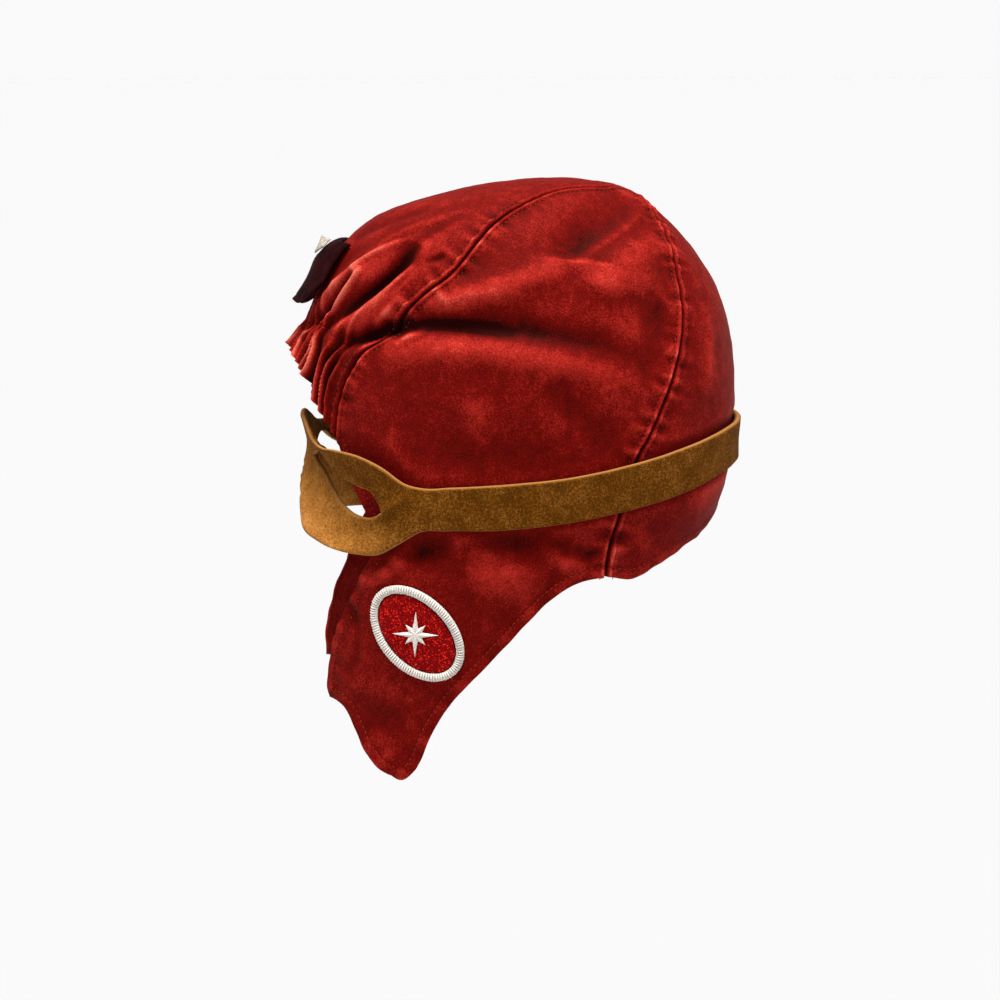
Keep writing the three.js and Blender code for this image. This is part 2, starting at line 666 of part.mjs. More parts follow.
// Pointed star of eight rays, the long ones upright and level on the patch.
function starDisc(height) {
  const points = 8;
  const sheet = new Sheet();
  const middle = clothPoint(patchMiddle, height);
  const centre = sheet.add(middle.point, middle.normal);
  const rim = shares(points * 2).slice(0, -1).map((share, i) => {
    const long = i % 4 === 0 ? 1 : 0.6;
    const reach = starReach * (i % 2 === 0 ? long : 0.3);
    const turn = share * 2 * Math.PI;
    const spot = spotFrom(patchMiddle, reach * Math.cos(turn), reach * Math.sin(turn));
    const placed = clothPoint(spot, height);
    return sheet.add(placed.point, placed.normal);
  });
  rim.forEach((index, i) => sheet.face(centre, index, rim[(i + 1) % rim.length]));
  return sheet;
}

// Tab above the brow, sewn on at its top edge and curling away from the cloth at its end.
const tabTop = 0.385;
const tabSideRise = 0.55;
function tabPoint(along, across, extra) {
  const top = spotAt([tabTop, brow]);
  const spot = spotFrom(top, across, along * tabLength);
  const normal = headNormal(spotFrom(top, 0, along * tabLength));
  const side = lerp(1, tabSideRise, (across / (tabWidth / 2)) ** 2);
  const lift = column(tabLifts, 'along', 'lift', along) * tabLift * side;
  const point = clothPoint(spot).point.addScaledVector(normal, layerGap + tabWall + lift + extra);
  return { point, normal };
}
function browTab() {
  const rows = [0, 0.1, 0.2, 0.35, 0.5, 0.65, 0.78, 0.88, 0.95, 1];
  return new Sheet().grid(rows, shares(6), (along, share) => {
    const rounded = along > 0.8 ? Math.sqrt(1 - ((along - 0.8) / 0.2) ** 2 * 0.75) : 1;
    return tabPoint(along, (share - 0.5) * tabWidth * rounded, 0);
  });
}

// Pale lozenge on the top of the tab, with its tip above the tab's edge.
function tabBadge() {
  const sheet = new Sheet();
  const badgeMiddle = 0.2;
  const place = (downward, across) => {
    const placed = tabPoint(badgeMiddle, across, layerGap + badgeWall);
    placed.point.addScaledVector(tabRun, downward);
    return placed;
  };
  const start = tabPoint(badgeMiddle - 0.05, 0, 0).point;
  const tabRun = tabPoint(badgeMiddle + 0.05, 0, 0).point.sub(start).normalize();
  const corners = [
    place(-badgeLength / 2, 0), place(0, badgeWidth / 2), place(badgeLength / 2, 0),
    place(0, -badgeWidth / 2),
  ].map(({ point, normal }) => sheet.add(point, normal));
  sheet.face(corners[0], corners[1], corners[2]);
  sheet.face(corners[0], corners[2], corners[3]);
  return sheet;
}

// The other side's copy of a solid, mirrored in the middle plane with its faces turned again.
function mirrored(geometry) {
  const copy = geometry.clone().scale(-1, 1, 1);
  const order = copy.getIndex().array;
  for (let i = 0; i < order.length; i += 3) {
    [order[i + 1], order[i + 2]] = [order[i + 2], order[i + 1]];
  }
  copy.computeVertexNormals();
  return copy;
}

const hat = new THREE.Group();
function addPiece(name, geometry, material) {
  const mesh = new THREE.Mesh(geometry, material);
  mesh.name = name;
  hat.add(mesh);
}

const leftSide = sidePanel().thicken(clothWall);
addPiece('side_panel_left', leftSide, redSuede);
addPiece('side_panel_right', mirrored(leftSide), redSuede);
addPiece('front_panel', frontPanel().thicken(clothWall), redSuede);
addPiece('back_panel', backPanel().thicken(clothWall), redSuede);
addPiece('brow_gather', browGather().thicken(clothWall), redSuede);
addPiece('goggle_band', goggleBand().thicken(feltWall), tanFelt);

const patchSides = 32;
const groundInset = patchBorder + layerGap;
const groundRings = [0, 0.5, 1].map((reach) => ({ reach, inset: groundInset }));
const groundSheet = patchDisc(groundRings, patchSides, layerGap + patchWall);
addPiece('patch_ground', groundSheet.thicken(patchWall), redThread);
const borderRings = [{ reach: 1, inset: patchBorder }, { reach: 1, inset: 0 }];
const borderSheet = patchDisc(borderRings, patchSides, layerGap + patchBorderWall);
addPiece('patch_border', borderSheet.thicken(patchBorderWall), whiteThread);
const starHeight = layerGap * 2 + patchWall + starWall;
addPiece('patch_star', starDisc(starHeight).thicken(starWall), whiteThread);

addPiece('brow_tab', browTab().thicken(tabWall), oxblood);
addPiece('tab_badge', tabBadge().thicken(badgeWall), whiteThread);

export default hat;
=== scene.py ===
import bpy
import numpy as np
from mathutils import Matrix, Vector, noise


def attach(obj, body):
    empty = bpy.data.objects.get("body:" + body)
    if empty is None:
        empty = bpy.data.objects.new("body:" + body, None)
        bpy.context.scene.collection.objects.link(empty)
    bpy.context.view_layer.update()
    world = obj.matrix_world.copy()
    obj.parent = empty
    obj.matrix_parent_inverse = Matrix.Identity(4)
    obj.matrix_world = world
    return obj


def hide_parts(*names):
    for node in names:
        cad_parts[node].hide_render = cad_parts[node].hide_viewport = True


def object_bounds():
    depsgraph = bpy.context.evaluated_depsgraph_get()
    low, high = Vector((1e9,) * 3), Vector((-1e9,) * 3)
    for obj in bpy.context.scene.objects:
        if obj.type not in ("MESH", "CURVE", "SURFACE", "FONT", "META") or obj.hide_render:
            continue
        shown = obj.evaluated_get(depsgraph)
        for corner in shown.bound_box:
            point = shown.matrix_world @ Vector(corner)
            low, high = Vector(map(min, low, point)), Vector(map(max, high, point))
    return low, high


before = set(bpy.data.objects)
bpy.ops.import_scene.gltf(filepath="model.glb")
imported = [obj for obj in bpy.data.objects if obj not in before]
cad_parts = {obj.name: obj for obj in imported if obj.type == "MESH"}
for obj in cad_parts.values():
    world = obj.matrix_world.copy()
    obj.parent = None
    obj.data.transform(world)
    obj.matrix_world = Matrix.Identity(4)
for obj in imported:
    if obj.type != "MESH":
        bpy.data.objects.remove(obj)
cad_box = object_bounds()

# Side panels. Each is one cut of brushed cotton suede that makes the side of the crown and, below
# it, the ear flap. It is sewn to the front panel, the gathered brow and the back panel, with a
# row of topstitching on each side of the seam, and its free edge is turned in and sewn down.
head_length = 209
head_width = 162
crown_drop = 144
flap_drop = 155
cloth_wall = 2
seam_gap = 0.35
layer_gap = 0.4
MM = 0.001


def table(names, *rows):
    """Columns by name, from rows of numbers."""
    return dict(zip(names.split(), np.array(rows, float).T))


# Cross sections from the top of the crown (down 0) past its foot (1) to the flaps' ends (2).
# drop is the height lost, half a share of half the width, front and back shares of half the
# length, and square the exponent of the oval.
sections = table(
    "down drop half front back square",
    (0, 0, 0, -0.191, 0.191, 2),
    (0.16, 0.038, 0.42, 0.258, 0.507, 2.05),
    (0.305, 0.132, 0.679, 0.651, 0.69, 2.1),
    (0.43, 0.264, 0.827, 0.842, 0.85, 2.12),
    (0.57, 0.431, 0.926, 0.938, 0.967, 2.15),
    (0.71, 0.618, 0.981, 0.986, 1.014, 2.2),
    (0.86, 0.8125, 1, 0.986, 1.014, 2.25),
    (1, 1, 0.988, 0.976, 0.981, 2.3),
    (1.225, 1.226, 0.951, 0.976, 0.852, 2.45),
    (1.515, 1.516, 0.901, 0.976, 0.813, 2.7),
    (2, 2, 0.84, 0.967, 0.794, 2.9),
)

# Seams and edges of the left half, as down and bearing: -90 is the middle of the brow, 0 the
# middle of the left side and 90 the middle of the nape.
crown_seam = [
    (0.15, 90), (0.129, 51), (0.14, 7), (0.232, -10), (0.345, -16), (0.442, -22),
    (0.496, -29), (0.555, -36), (0.605, -40), (0.643, -46), (0.67, -48),
]
temple_seam = [(0.67, -48), (0.693, -50), (0.769, -54), (0.84, -55.5), (0.872, -56)]
nape_seam = [
    (0.15, 90), (0.2, 79), (0.291, 68), (0.41, 54), (0.537, 47), (0.629, 43), (0.74, 37),
    (0.855, 31), (0.906, 28), (1.045, 25), (1.138, 25), (1.24, 26),
]
elastic_line = [(0.67, -48), (0.63, -56), (0.6, -66), (0.6, -78), (0.606, -90)]
temple_hem = [(0.872, -56), (0.97, -50), (1.055, -44), (1.126, -41), (1.177, -41)]
flap_front_hem = [
    (1.177, -41), (1.29, -46), (1.407, -52), (1.492, -55), (1.59, -57), (1.642, -56),
]
flap_tip_front = [(1.642, -56), (1.668, -48), (1.77, -42), (1.835, -37), (1.862, -33)]
flap_rear_hem = [
    (1.24, 26), (1.262, 17), (1.31, 11), (1.377, 5), (1.45, -1), (1.532, -8), (1.66, -18),
]
flap_tip_rear = [(1.66, -18), (1.742, -22), (1.8, -24), (1.842, -26)]
nape_hem = [(1.24, 26), (1.254, 35), (1.206, 46), (1.171, 56), (1.14, 66), (1.105, 90)]

# Folds, each through three places given as down and bearing, with its height and its spread.
folds = table(
    "down1 bearing1 down2 bearing2 down3 bearing3 rise spread",
    (0.535, -32, 0.495, -13, 0.42, 12, 3.4, 7),
    (0.645, -59, 0.6, -44, 0.56, -32, -4.2, 4.5),
    (0.62, -48, 0.58, -10, 0.7, 38, -4.4, 8.5),
    (0.66, -42, 0.628, -12, 0.7, 30, 2.6, 9),
    (0.85, -36, 0.89, 0, 0.87, 32, -2.2, 17),
    (0.2, 66, 0.31, 28, 0.41, 15, -5.2, 13),
    (0.35, 55, 0.417, 31, 0.489, 18, 2.2, 9),
    (0.47, 12, 0.478, 28, 0.45, 42, 1.8, 7),
    (0.523, 40, 0.584, 35, 0.645, 38, -1.9, 8),
    (0.715, 3, 0.79, 13, 0.86, 24, -1.5, 7.5),
    (0.74, -15, 0.8, -14, 0.87, -10, 0.8, 12),
    (1.09, -14, 1.12, 0, 1.17, 14, -1.8, 8),
    (1.2, -31, 1.15, -25, 1.12, -17, -2.2, 9.5),
    (1.21, -14, 1.24, -2, 1.271, 10, 2.2, 12),
    (1.11, 4, 1.18, 12, 1.225, 20, 1.6, 6),
    (1.39, -52, 1.36, -46, 1.345, -40, -1.4, 7),
    (1.22, -34, 1.27, -39, 1.35, -46, 1.9, 8),
    (1.61, -46, 1.67, -38, 1.69, -28, -1.5, 9),
    (0.64, -67, 0.525, -48, 0.42, -35, 3.4, 4.6),
    (0.61, -66, 0.48, -46, 0.36, -38, -6.2, 5),
    (0.562, -74, 0.455, -57, 0.357, -46, 1.8, 6),
    (0.539, -77, 0.45, -72, 0.36, -62, -1.5, 6),
    (0.514, -27, 0.412, -20, 0.313, -10, 1.2, 4),
    (0.534, 58, 0.66, 55, 0.775, 52, 1.2, 12),
    (0.9, 75, 0.97, 60, 1.05, 48, 1.6, 14),
)

# Small creases between the folds, which are too fine for the solids.
creases = table(
    "down1 bearing1 down2 bearing2 down3 bearing3 rise spread",
    (0.44, -54, 0.515, -59, 0.6, -67, 3.8, 1.5),
    (0.345, -42, 0.405, -53, 0.5, -71, 1.7, 1.8),
    (0.39, -39, 0.478, -46, 0.57, -59, -2.6, 2.6),
    (0.45, -58, 0.525, -65, 0.615, -78, -7, 3.5),
    (0.5, -62, 0.545, -68, 0.6, -77, -2.5, 1.8),
    (0.422, -54, 0.486, -65, 0.541, -79, 1.6, 2.4),
    (0.643, -57, 0.604, -45, 0.572, -35, -3.6, 3),
    (0.631, -36, 0.605, -33, 0.591, -28, 1.8, 2),
    (0.6, -40, 0.572, -24, 0.6, -3, -2.4, 3.2),
    (0.6, -46, 0.56, -42, 0.507, -37, 1.3, 1.8),
    (0.509, -42, 0.473, -38, 0.431, -35, -1.2, 1.5),
    (0.414, -32, 0.402, -28, 0.388, -26, -1.6, 1.8),
    (0.423, -57, 0.309, -43, 0.228, -21, 1.1, 3.4),
    (0.371, -78, 0.308, -66, 0.232, -52, -1.6, 6),
    (0.43, 14, 0.341, 32, 0.21, 76, 1.5, 3.2),
    (0.417, -42, 0.306, -34, 0.199, -24, -1.2, 3),
    (0.535, 37, 0.574, 39, 0.633, 39, -0.7, 5),
    (0.728, 9, 0.8, 9.5, 0.868, 10, -0.5, 1.6),
    (1.081, 4, 1.147, 14, 1.158, 23, -0.8, 3.4),
    (1.19, -29, 1.142, -24, 1.127, -19, -0.5, 6),
    (1.117, -30, 1.214, -33, 1.282, -40, 0.9, 5),
    (1.22, -31, 1.28, -37, 1.363, -42, 1, 3.4),
    (1.325, -49, 1.441, -43, 1.575, -48, -0.9, 2.6),
    (1.121, 24, 1.187, 27, 1.234, 26, 0.8, 2),
    (1.181, 18, 1.152, 22, 1.108, 28, -1, 2.4),
    (0.534, 58, 0.65, 54, 0.775, 50, 0.6, 4),
    (1.065, 31, 1.13, 35, 1.201, 39, 0.7, 4),
    (0.751, -15, 0.849, -13, 0.944, -8, 0.5, 5),
)

# Felt mask and strap at chosen bearings: the down values of its top and bottom edge, and how far
# its edges and its middle stand out or are pressed in, as shares of dish_depth.
dish_depth = 7
band_edges = table(
    "bearing top bottom dish_top dish_middle dish_bottom",
    (-90, 0.838, 0.928, -0.29, -0.63, -0.84),
    (-84, 0.837, 0.95, -0.25, -0.68, -0.45),
    (-78, 0.838, 1.02, -0.15, -0.72, 0.2),
    (-71, 0.855, 1.09, -0.02, -0.62, 0.52),
    (-65, 0.876, 1.125, 0.2, -0.5, 0.75),
    (-58, 0.888, 1.146, 0.5, -0.3, 0.75),
    (-50, 0.887, 1.163, 0.8, -0.1, 0.7),
    (-43, 0.896, 1.169, 0.75, 0, 0.55),
    (-37, 0.921, 1.164, 0.45, 0.1, 0.3),
    (-32, 0.955, 1.127, 0.1, 0, 0.1),
    (-27, 0.966, 1.087, 0, 0, 0),
    (-20, 0.962, 1.08, 0, 0, 0),
    (-6, 0.953, 1.076, 0, 0, 0),
    (9, 0.94, 1.06, 0, 0, 0),
    (25, 0.915, 1.032, 0, 0, 0),
    (43, 0.882, 0.996, 0, 0, 0),
    (57, 0.86, 0.968, 0, 0, 0),
    (72, 0.848, 0.95, 0, 0, 0.1),
    (90, 0.842, 0.942, 0, 0, 0.15),
)
patch_length = 54
patch_place = (1.407, -26)


def column(rows, key, name, place, mirrored=0):
    """One column of a table at places between its rows, on a smooth curve through them."""
    at, value = rows[key], rows[name]
    if mirrored:
        at = np.append(-at[1], at)
        value = np.append(value[0] + mirrored * (value[1] - value[0]), value)
    step = np.diff(at)
    rate = np.diff(value) / step
    inner = (rate[:-1] * step[1:] + rate[1:] * step[:-1]) / (step[:-1] + step[1:])
    slope = np.concatenate([rate[:1], inner, rate[-1:]])
    i = np.clip(np.searchsorted(at, place, side="right") - 1, 0, len(step) - 1)
    t = np.clip((place - at[i]) / step[i], 0, 1)
    ends = (2 * t**3 - 3 * t**2 + 1) * value[i] + (3 * t**2 - 2 * t**3) * value[i + 1]
    turns = (t**3 - 2 * t**2 + t) * slope[i] + (t**3 - t**2) * slope[i + 1]
    return ends + turns * step[i]


def smooth(value, low, high):
    """0 below low, 1 above high, and an even curve between them."""
    t = np.clip((value - low) / (high - low), 0, 1)
    return t * t * (3 - 2 * t)


def bell(distance, width):
    """1 at no distance, falling off to nothing within a few widths."""
    return np.exp(-((distance / width) ** 2))


# A spot is a complex number: its size is down and its direction the bearing, so that pieces can
# cross the top of the crown.
def spot_at(down, bearing):
    return down * np.exp(1j * np.radians(bearing))


def mirror(spot):
    return -np.conj(spot)


def left_bearing(spot):
    return np.degrees(np.arctan2(spot.imag, np.abs(spot.real)))


def head_point(spot):
    """Where spots lie on the smooth outside of the cap, without folds."""
    down, turn = np.abs(spot), np.angle(spot)
    drop = column(sections, "down", "drop", down, 1)
    half = column(sections, "down", "half", down, -1) * head_width / 2
    front = column(sections, "down", "front", down, -1) * head_length / 2
    back = column(sections, "down", "back", down, -1) * head_length / 2
    square = column(sections, "down", "square", down, 1)
    across, along = np.cos(turn), np.sin(turn)
    reach = (np.abs(across) ** square + np.abs(along) ** square) ** (-1 / square)
    height = np.where(drop < 1, drop * crown_drop, crown_drop + (drop - 1) * flap_drop)
    middle = (back - front) / 2
    return np.stack(
        [half * reach * across, middle + (back + front) / 2 * reach * along, cloth_wall - height],
        axis=-1,
    )


def head_steps(spot):
    """How the smooth cap runs at spots, for each step of the chart's two directions."""
    step = 0.004
    return [
        (head_point(spot + way * step) - head_point(spot - way * step)) / (2 * step)
        for way in (1, 1j)
    ]


def unit(vectors):
    return vectors / np.linalg.norm(vectors, axis=-1, keepdims=True)


def head_normal(spot):
    return unit(np.cross(*head_steps(spot)))


def edge_curve(places):
    """Smooth curve through listed places, as a function of the share of its length."""
    knots = np.array([spot_at(*place) for place in places])
    slope = (np.append(knots[1:], knots[-1]) - np.append(knots[0], knots[:-1])) / 2
    t = np.linspace(0, len(knots) - 1, 400)
    i = np.minimum(t.astype(int), len(knots) - 2)
    t = t - i
    ends = (2 * t**3 - 3 * t**2 + 1) * knots[i] + (3 * t**2 - 2 * t**3) * knots[i + 1]
    fine = ends + (t**3 - 2 * t**2 + t) * slope[i] + (t**3 - t**2) * slope[i + 1]
    length = np.append(0, np.cumsum(np.abs(np.diff(fine))))
    return lambda share: np.interp(share, length / length[-1], fine)


def near_line(points, line):
    """Distance from points to a line, and the share of the line where each is nearest."""
    best = np.full(len(points), np.inf)
    share = np.zeros(len(points))
    for i, (start, leg) in enumerate(zip(line, np.diff(line, axis=0))):
        way = points - start
        t = np.clip(way @ leg / (leg @ leg), 0, 1)
        gap = np.linalg.norm(way - t[:, None] * leg, axis=1)
        closer = gap < best
        best[closer] = gap[closer]
        share[closer] = (i + t[closer]) / (len(line) - 1)
    return best, share


def traced(*curves):
    """Points of joined edge curves on the smooth cap, about a trace step apart."""
    spots = np.concatenate([curve(np.linspace(0, 1, 60)) for curve in curves])
    points = head_point(spots)
    length = np.append(0, np.cumsum(np.linalg.norm(np.diff(points, axis=0), axis=1)))
    even = np.linspace(0, length[-1], int(length[-1] / trace_step) + 2)
    return np.stack([np.interp(even, length, points[:, axis]) for axis in range(3)], -1)


def fold_rows(rows):
    """Lines, heights and spreads of a table of folds."""
    t = np.linspace(-1, 1, 11)[:, None]
    bent = {}
    for name in ("down", "bearing"):
        first, middle, last = (rows[f"{name}{k}"] for k in (1, 2, 3))
        bent[name] = middle + (last - first) / 2 * t + (first + last - 2 * middle) / 2 * t * t
    lines = head_point(spot_at(bent["down"], bent["bearing"]))
    return zip(lines.swapaxes(0, 1), rows["rise"], rows["spread"])


def rough(points, size, seed):
    """Smooth random heights from about -1 to 1, with lumps of the given size."""
    return np.array([noise.noise(place) for place in points / size + seed])


crown_seam_curve = edge_curve(crown_seam)
temple_seam_curve = edge_curve(temple_seam)
nape_seam_curve = edge_curve(nape_seam)
elastic_curve = edge_curve(elastic_line)
flap_rear_curve = edge_curve(flap_rear_hem)
flap_tip_rear_curve = edge_curve(flap_tip_rear)
flap_tip_front_curve = edge_curve(flap_tip_front)
flap_front_curve = edge_curve(flap_front_hem)
temple_hem_curve = edge_curve(temple_hem)
nape_hem_curve = edge_curve(nape_hem)
tip_bulge = 0.022
trace_step = 4


def between(a, b, share):
    """Spots between two others, going straight in down and bearing."""
    turn = np.degrees(np.angle(b / a))
    down = np.abs(a) + (np.abs(b) - np.abs(a)) * share
    return spot_at(down, np.degrees(np.angle(a)) + turn * share)


def flap_end(share):
    """The rounded end of the flap, from its front corner to its rear corner."""
    spot = between(flap_tip_front_curve(1), flap_tip_rear_curve(1), share)
    return spot * (1 + tip_bulge * np.sin(share * np.pi) / np.abs(spot))


seam_lines = [traced(crown_seam_curve, temple_seam_curve), traced(nape_seam_curve)]
hem_curves = [
    temple_hem_curve, flap_front_curve, flap_tip_front_curve, flap_end,
    lambda share: flap_tip_rear_curve(1 - share), lambda share: flap_rear_curve(1 - share),
    nape_hem_curve,
]
hem_line = traced(*hem_curves)
elastic_points = traced(elastic_curve)

# Seams and hems: where the topstitching lies, how the doubled cloth swells beside it, how deep
# the thread pulls it in, and how the stitching puckers it.
seam_stitch = 3.2
seam_swell, swell_width = 1.0, 1.3
seam_sink, sink_width = 0.4, 4
seam_groove, groove_width = 0.8, 0.8
stitch_sink, stitch_furrow = 0.3, 0.5
hem_stitch = 5
hem_swell = 0.35
hem_stitch_sink, hem_furrow = 0.15, 0.6
pucker_step, pucker_rise, pucker_reach = 4.2, 1.15, 7
ripple_step, ripple_reach = 8, 9
nape_pucker_start = 131
right_pucker_start = 57.0

# The cloth's own unevenness as height and size of its lumps, and what the felt and the patch
# leave of the heights and of the hollows they press on.
sag_rise, sag_size = 0.35, 17
crumple_rise, crumple_size = 0.22, 6
pressed_height, pressed_hollow = 0.93, 0.65
band_dent = 0.8

# Gathers at the elastic: how far up they reach, how high they stand, and their crests.
gather_reach = 11
elastic_rise = 1.5
pleat_count = 21
pleat_crest, pleat_sharpness = 1.9, 0.85
pleat_valley = 0.7
pleat_ripple = 0.25


def pleats(share):
    """Gathers along the elastic, from the left temple (0) to the right (1): thin crests."""
    wander = 0.35 * np.sin(share * 19) + 0.3 * np.sin(share * 47 + 1)
    turn = np.pi * (pleat_count * share + wander)
    small = pleat_ripple * np.cos(3 * turn + 3 * np.sin(share * 31))
    return pleat_crest * (1 - np.abs(np.cos(turn))) ** pleat_sharpness - pleat_valley + small


def under_band(spot):
    """1 where the felt presses the cloth flat, 0 away from it."""
    bearing = left_bearing(spot)
    top = column(band_edges, "bearing", "top", bearing)
    bottom = column(band_edges, "bearing", "bottom", bearing)
    away = np.abs(np.abs(spot) - (top + bottom) / 2) / ((bottom - top) / 2)
    return 1 - smooth(away, 1.05, 1.5)


def under_patch(spot):
    """1 under the patch on the left flap, 0 away from it."""
    middle = head_point(spot_at(*patch_place))
    away = np.linalg.norm(head_point(spot) - middle, axis=1) / (patch_length / 2)
    return 1 - smooth(away, 0.95, 1.3)


def relief(spot, fan=0):
    """Height of folds, seams and hems over the smooth cap, and of gathers where fan is 1."""
    point = head_point(spot)
    height = np.zeros(len(spot))
    for line, rise, spread in [*fold_rows(folds), *fold_rows(creases)]:
        reach = np.linalg.norm(line[-1] - line[0]) / 2 + 3 * spread + 4
        for place in (point, point * (-1, 1, 1)):
            close = np.linalg.norm(place - line[len(line) // 2], axis=1) < reach
            gap, share = near_line(place[close], line)
            taper = (4 * share * (1 - share)) ** 0.7
            height[close] += rise * taper * bell(gap, spread)
    height += sag_rise * rough(point, sag_size, 3.7) + crumple_rise * rough(point, crumple_size, 8.1)
    on_left = np.column_stack([np.abs(point[:, 0]), point[:, 1:]])
    flipped = np.where(spot.real < 0, right_pucker_start, 0.0)
    seam, along = near_line(on_left, seam_lines[0])
    along = along * len(seam_lines[0])
    second, second_along = near_line(on_left, seam_lines[1])
    second_along = nape_pucker_start + second_along * len(seam_lines[1])
    along = np.where(second < seam, second_along, along)
    seam = np.minimum(seam, second)
    edge, edge_along = near_line(on_left, hem_line)
    puckers = along_noise(trace_step * along + flipped, pucker_step) * bell(seam, pucker_reach)
    height += 2 * pucker_rise * puckers * smooth(seam, 0.5, 2.5) * smooth(np.abs(spot), 0.12, 0.3)
    ripples = along_noise(trace_step * edge_along * len(hem_line) + flipped, ripple_step)
    height += pucker_rise * ripples * bell(edge, ripple_reach)
    pressed = np.maximum(under_band(spot), under_patch(spot))
    height *= 1 - np.where(height > 0, pressed_height, pressed_hollow) * pressed
    height += seam_swell * bell(seam - seam_stitch * 0.55, swell_width)
    height -= stitch_sink * bell(seam - seam_stitch, stitch_furrow)
    height -= seam_sink * bell(seam, sink_width) + seam_groove * bell(seam, groove_width)
    height += hem_swell * (1 - smooth(edge, hem_stitch - hem_furrow, hem_stitch + hem_furrow))
    height -= hem_stitch_sink * bell(edge - hem_stitch, hem_furrow)
    if fan:
        above, share = elastic_share(spot)
        height += elastic_rise * opened(share) * pleats(share) * np.exp(-above / gather_reach)
    return height - band_dent * under_band(spot)


def elastic_share(spot):
    """How far spots lie from the elastic, and the share of its length, 0 and 1 at the temples."""
    point = head_point(spot)
    above, share = near_line(np.column_stack([np.abs(point[:, 0]), point[:, 1:]]), elastic_points)
    return above, np.where(spot.real > 0, share / 2, 1 - share / 2)


def along_noise(length, step):
    """Smooth random heights that change only along a seam."""
    return rough(np.column_stack([length, 0 * length, 0 * length]), step, 2.3)


def opened(share):
    """How far the gathers have opened at a share of the elastic: none at the temples."""
    return smooth(np.minimum(share, 1 - share), 0, 0.13)


def cloth(spot, fan=0, extra=0):
    """Points and outward directions of a grid of spots on the cloth, and three values for its material:
    how far it stands out, which is painted as shade in hollows and as a highlight on ridges, and the
    distances to the nearest seam and hem, along which furrows get painted shade."""
    flat = spot.ravel()
    height = (relief(flat, fan) + np.ravel(extra)).reshape(spot.shape)
    normal = head_normal(flat).reshape(*spot.shape, 3)
    point = head_point(flat).reshape(*spot.shape, 3) + normal * height[..., None]
    on_left = head_point(flat) * np.where(spot.ravel().real < 0, -1, 1)[:, None] ** [1, 0, 0]
    seams = [near_line(on_left, line)[0] for line in (*seam_lines, hem_line)]
    near_seam = np.minimum(seams[0], seams[1]).reshape(spot.shape)
    return point, normal, (relief_shade(height), near_seam, seams[2].reshape(spot.shape))


ridge_rounds = ((24, 0.6), (200, 0.55))


def relief_shade(height):
    """How far each place stands over the cloth near it, from its mean after some rounds of smoothing
    and after many, which the suede paints as shade in hollows and as a highlight on ridges. Shallow
    hollows count less than deep ones."""
    mean, stands = height, 0
    for rounds, weight in ridge_rounds:
        for _ in range(rounds):
            wide = np.pad(mean, 1, mode="edge")
            mean = (wide[:-2, 1:-1] + wide[2:, 1:-1] + wide[1:-1, :-2] + wide[1:-1, 2:]) / 4
        stands = stands + weight * (height - mean)
    return np.where(stands < 0, stands * (0.6 + 0.3 * np.minimum(-stands, 2)), stands)


def shell(name, grids, wall, gap=0, bulge=0.12, joined=None):
    """Closed wall under a sheet. Grids are points, outward directions and values for the material,
    and share edges. gap is how far the sheet's own edges are drawn in, bulge how round they are,
    and joined marks the points of an edge that runs on into the next piece."""
    quads, start = [], 0
    for point, normal, _ in grids:
        rows, columns = point.shape[:2]
        index = start + np.arange(rows * columns).reshape(rows, columns)
        four = np.stack([index[:-1, :-1], index[:-1, 1:], index[1:, 1:], index[1:, :-1]], -1)
        facing = np.cross(np.diff(point, axis=1)[:-1], np.diff(point, axis=0)[:, :-1])
        four = four.reshape(-1, 4)
        quads.append(four if (facing * normal[:-1, :-1]).sum() > 0 else four[:, ::-1])
        start += rows * columns
    points = np.concatenate([grid[0].reshape(-1, 3) for grid in grids])
    normals = np.concatenate([grid[1].reshape(-1, 3) for grid in grids])
    values = np.concatenate([np.reshape(grid[2], (3, -1)) for grid in grids], axis=1)
    _, first, same = np.unique(points.round(3), axis=0, return_index=True, return_inverse=True)
    quads = same.ravel()[np.concatenate(quads)]
    points, normals, values = points[first], normals[first], values[:, first]
    count = len(points)
    begin, end = quads.ravel(), np.roll(quads, -1, axis=1).ravel()
    begin, end = begin[begin != end], end[begin != end]
    free = ~np.isin(begin * count + end, end * count + begin)
    begin, end = begin[free], end[free]
    along = unit(points[end] - points[begin])
    outward = np.zeros_like(points)
    np.add.at(outward, begin, np.cross(along, normals[begin]))
    np.add.at(outward, end, np.cross(along, normals[end]))
    rim = np.unique(begin)
    outward = unit(outward[rim])
    free = np.ones((len(rim), 1)) if joined is None else 1.0 - joined.ravel()[first][rim][:, None]
    points[rim] -= outward * (gap / 2 + bulge * wall) * free
    inner = points - normals * wall
    middle = (points[rim] + inner[rim]) / 2 + outward * bulge * wall * free
    points[rim] -= normals[rim] * wall * 0.15 * free
    inner[rim] += normals[rim] * wall * 0.15
    at_rim = np.zeros(count, int)
    at_rim[rim] = 2 * count + np.arange(len(rim))
    walls = [
        np.column_stack([begin, at_rim[begin], at_rim[end], end]),
        np.column_stack([at_rim[begin], begin + count, end + count, at_rim[end]]),
    ]
    faces = [list(dict.fromkeys(face)) for face in
             np.concatenate([quads, quads[:, ::-1] + count, *walls]).tolist()]
    mesh = bpy.data.meshes.new(name)
    corners = np.concatenate([points, inner, middle]) * MM
    mesh.from_pydata(corners.tolist(), [], [face for face in faces if len(face) > 2])
    rims = np.zeros(len(corners))
    rims[rim] = 0.5 * free[:, 0]
    rims[at_rim[rim]] = free[:, 0]
    outside = np.zeros((3, len(corners)))
    outside[1:] = 99
    outside[:, :count] = values
    # The first of each grid's values, how far the cloth stands out, becomes painted shade in hollows
    # and a painted highlight on ridges in the suede.
    for label, numbers in zip(("rim", "relief_shade", "seam", "hem"), (rims, *outside)):
        mesh.attributes.new(label, "FLOAT", "POINT").data.foreach_set("value", numbers)
    return placed(name, mesh)


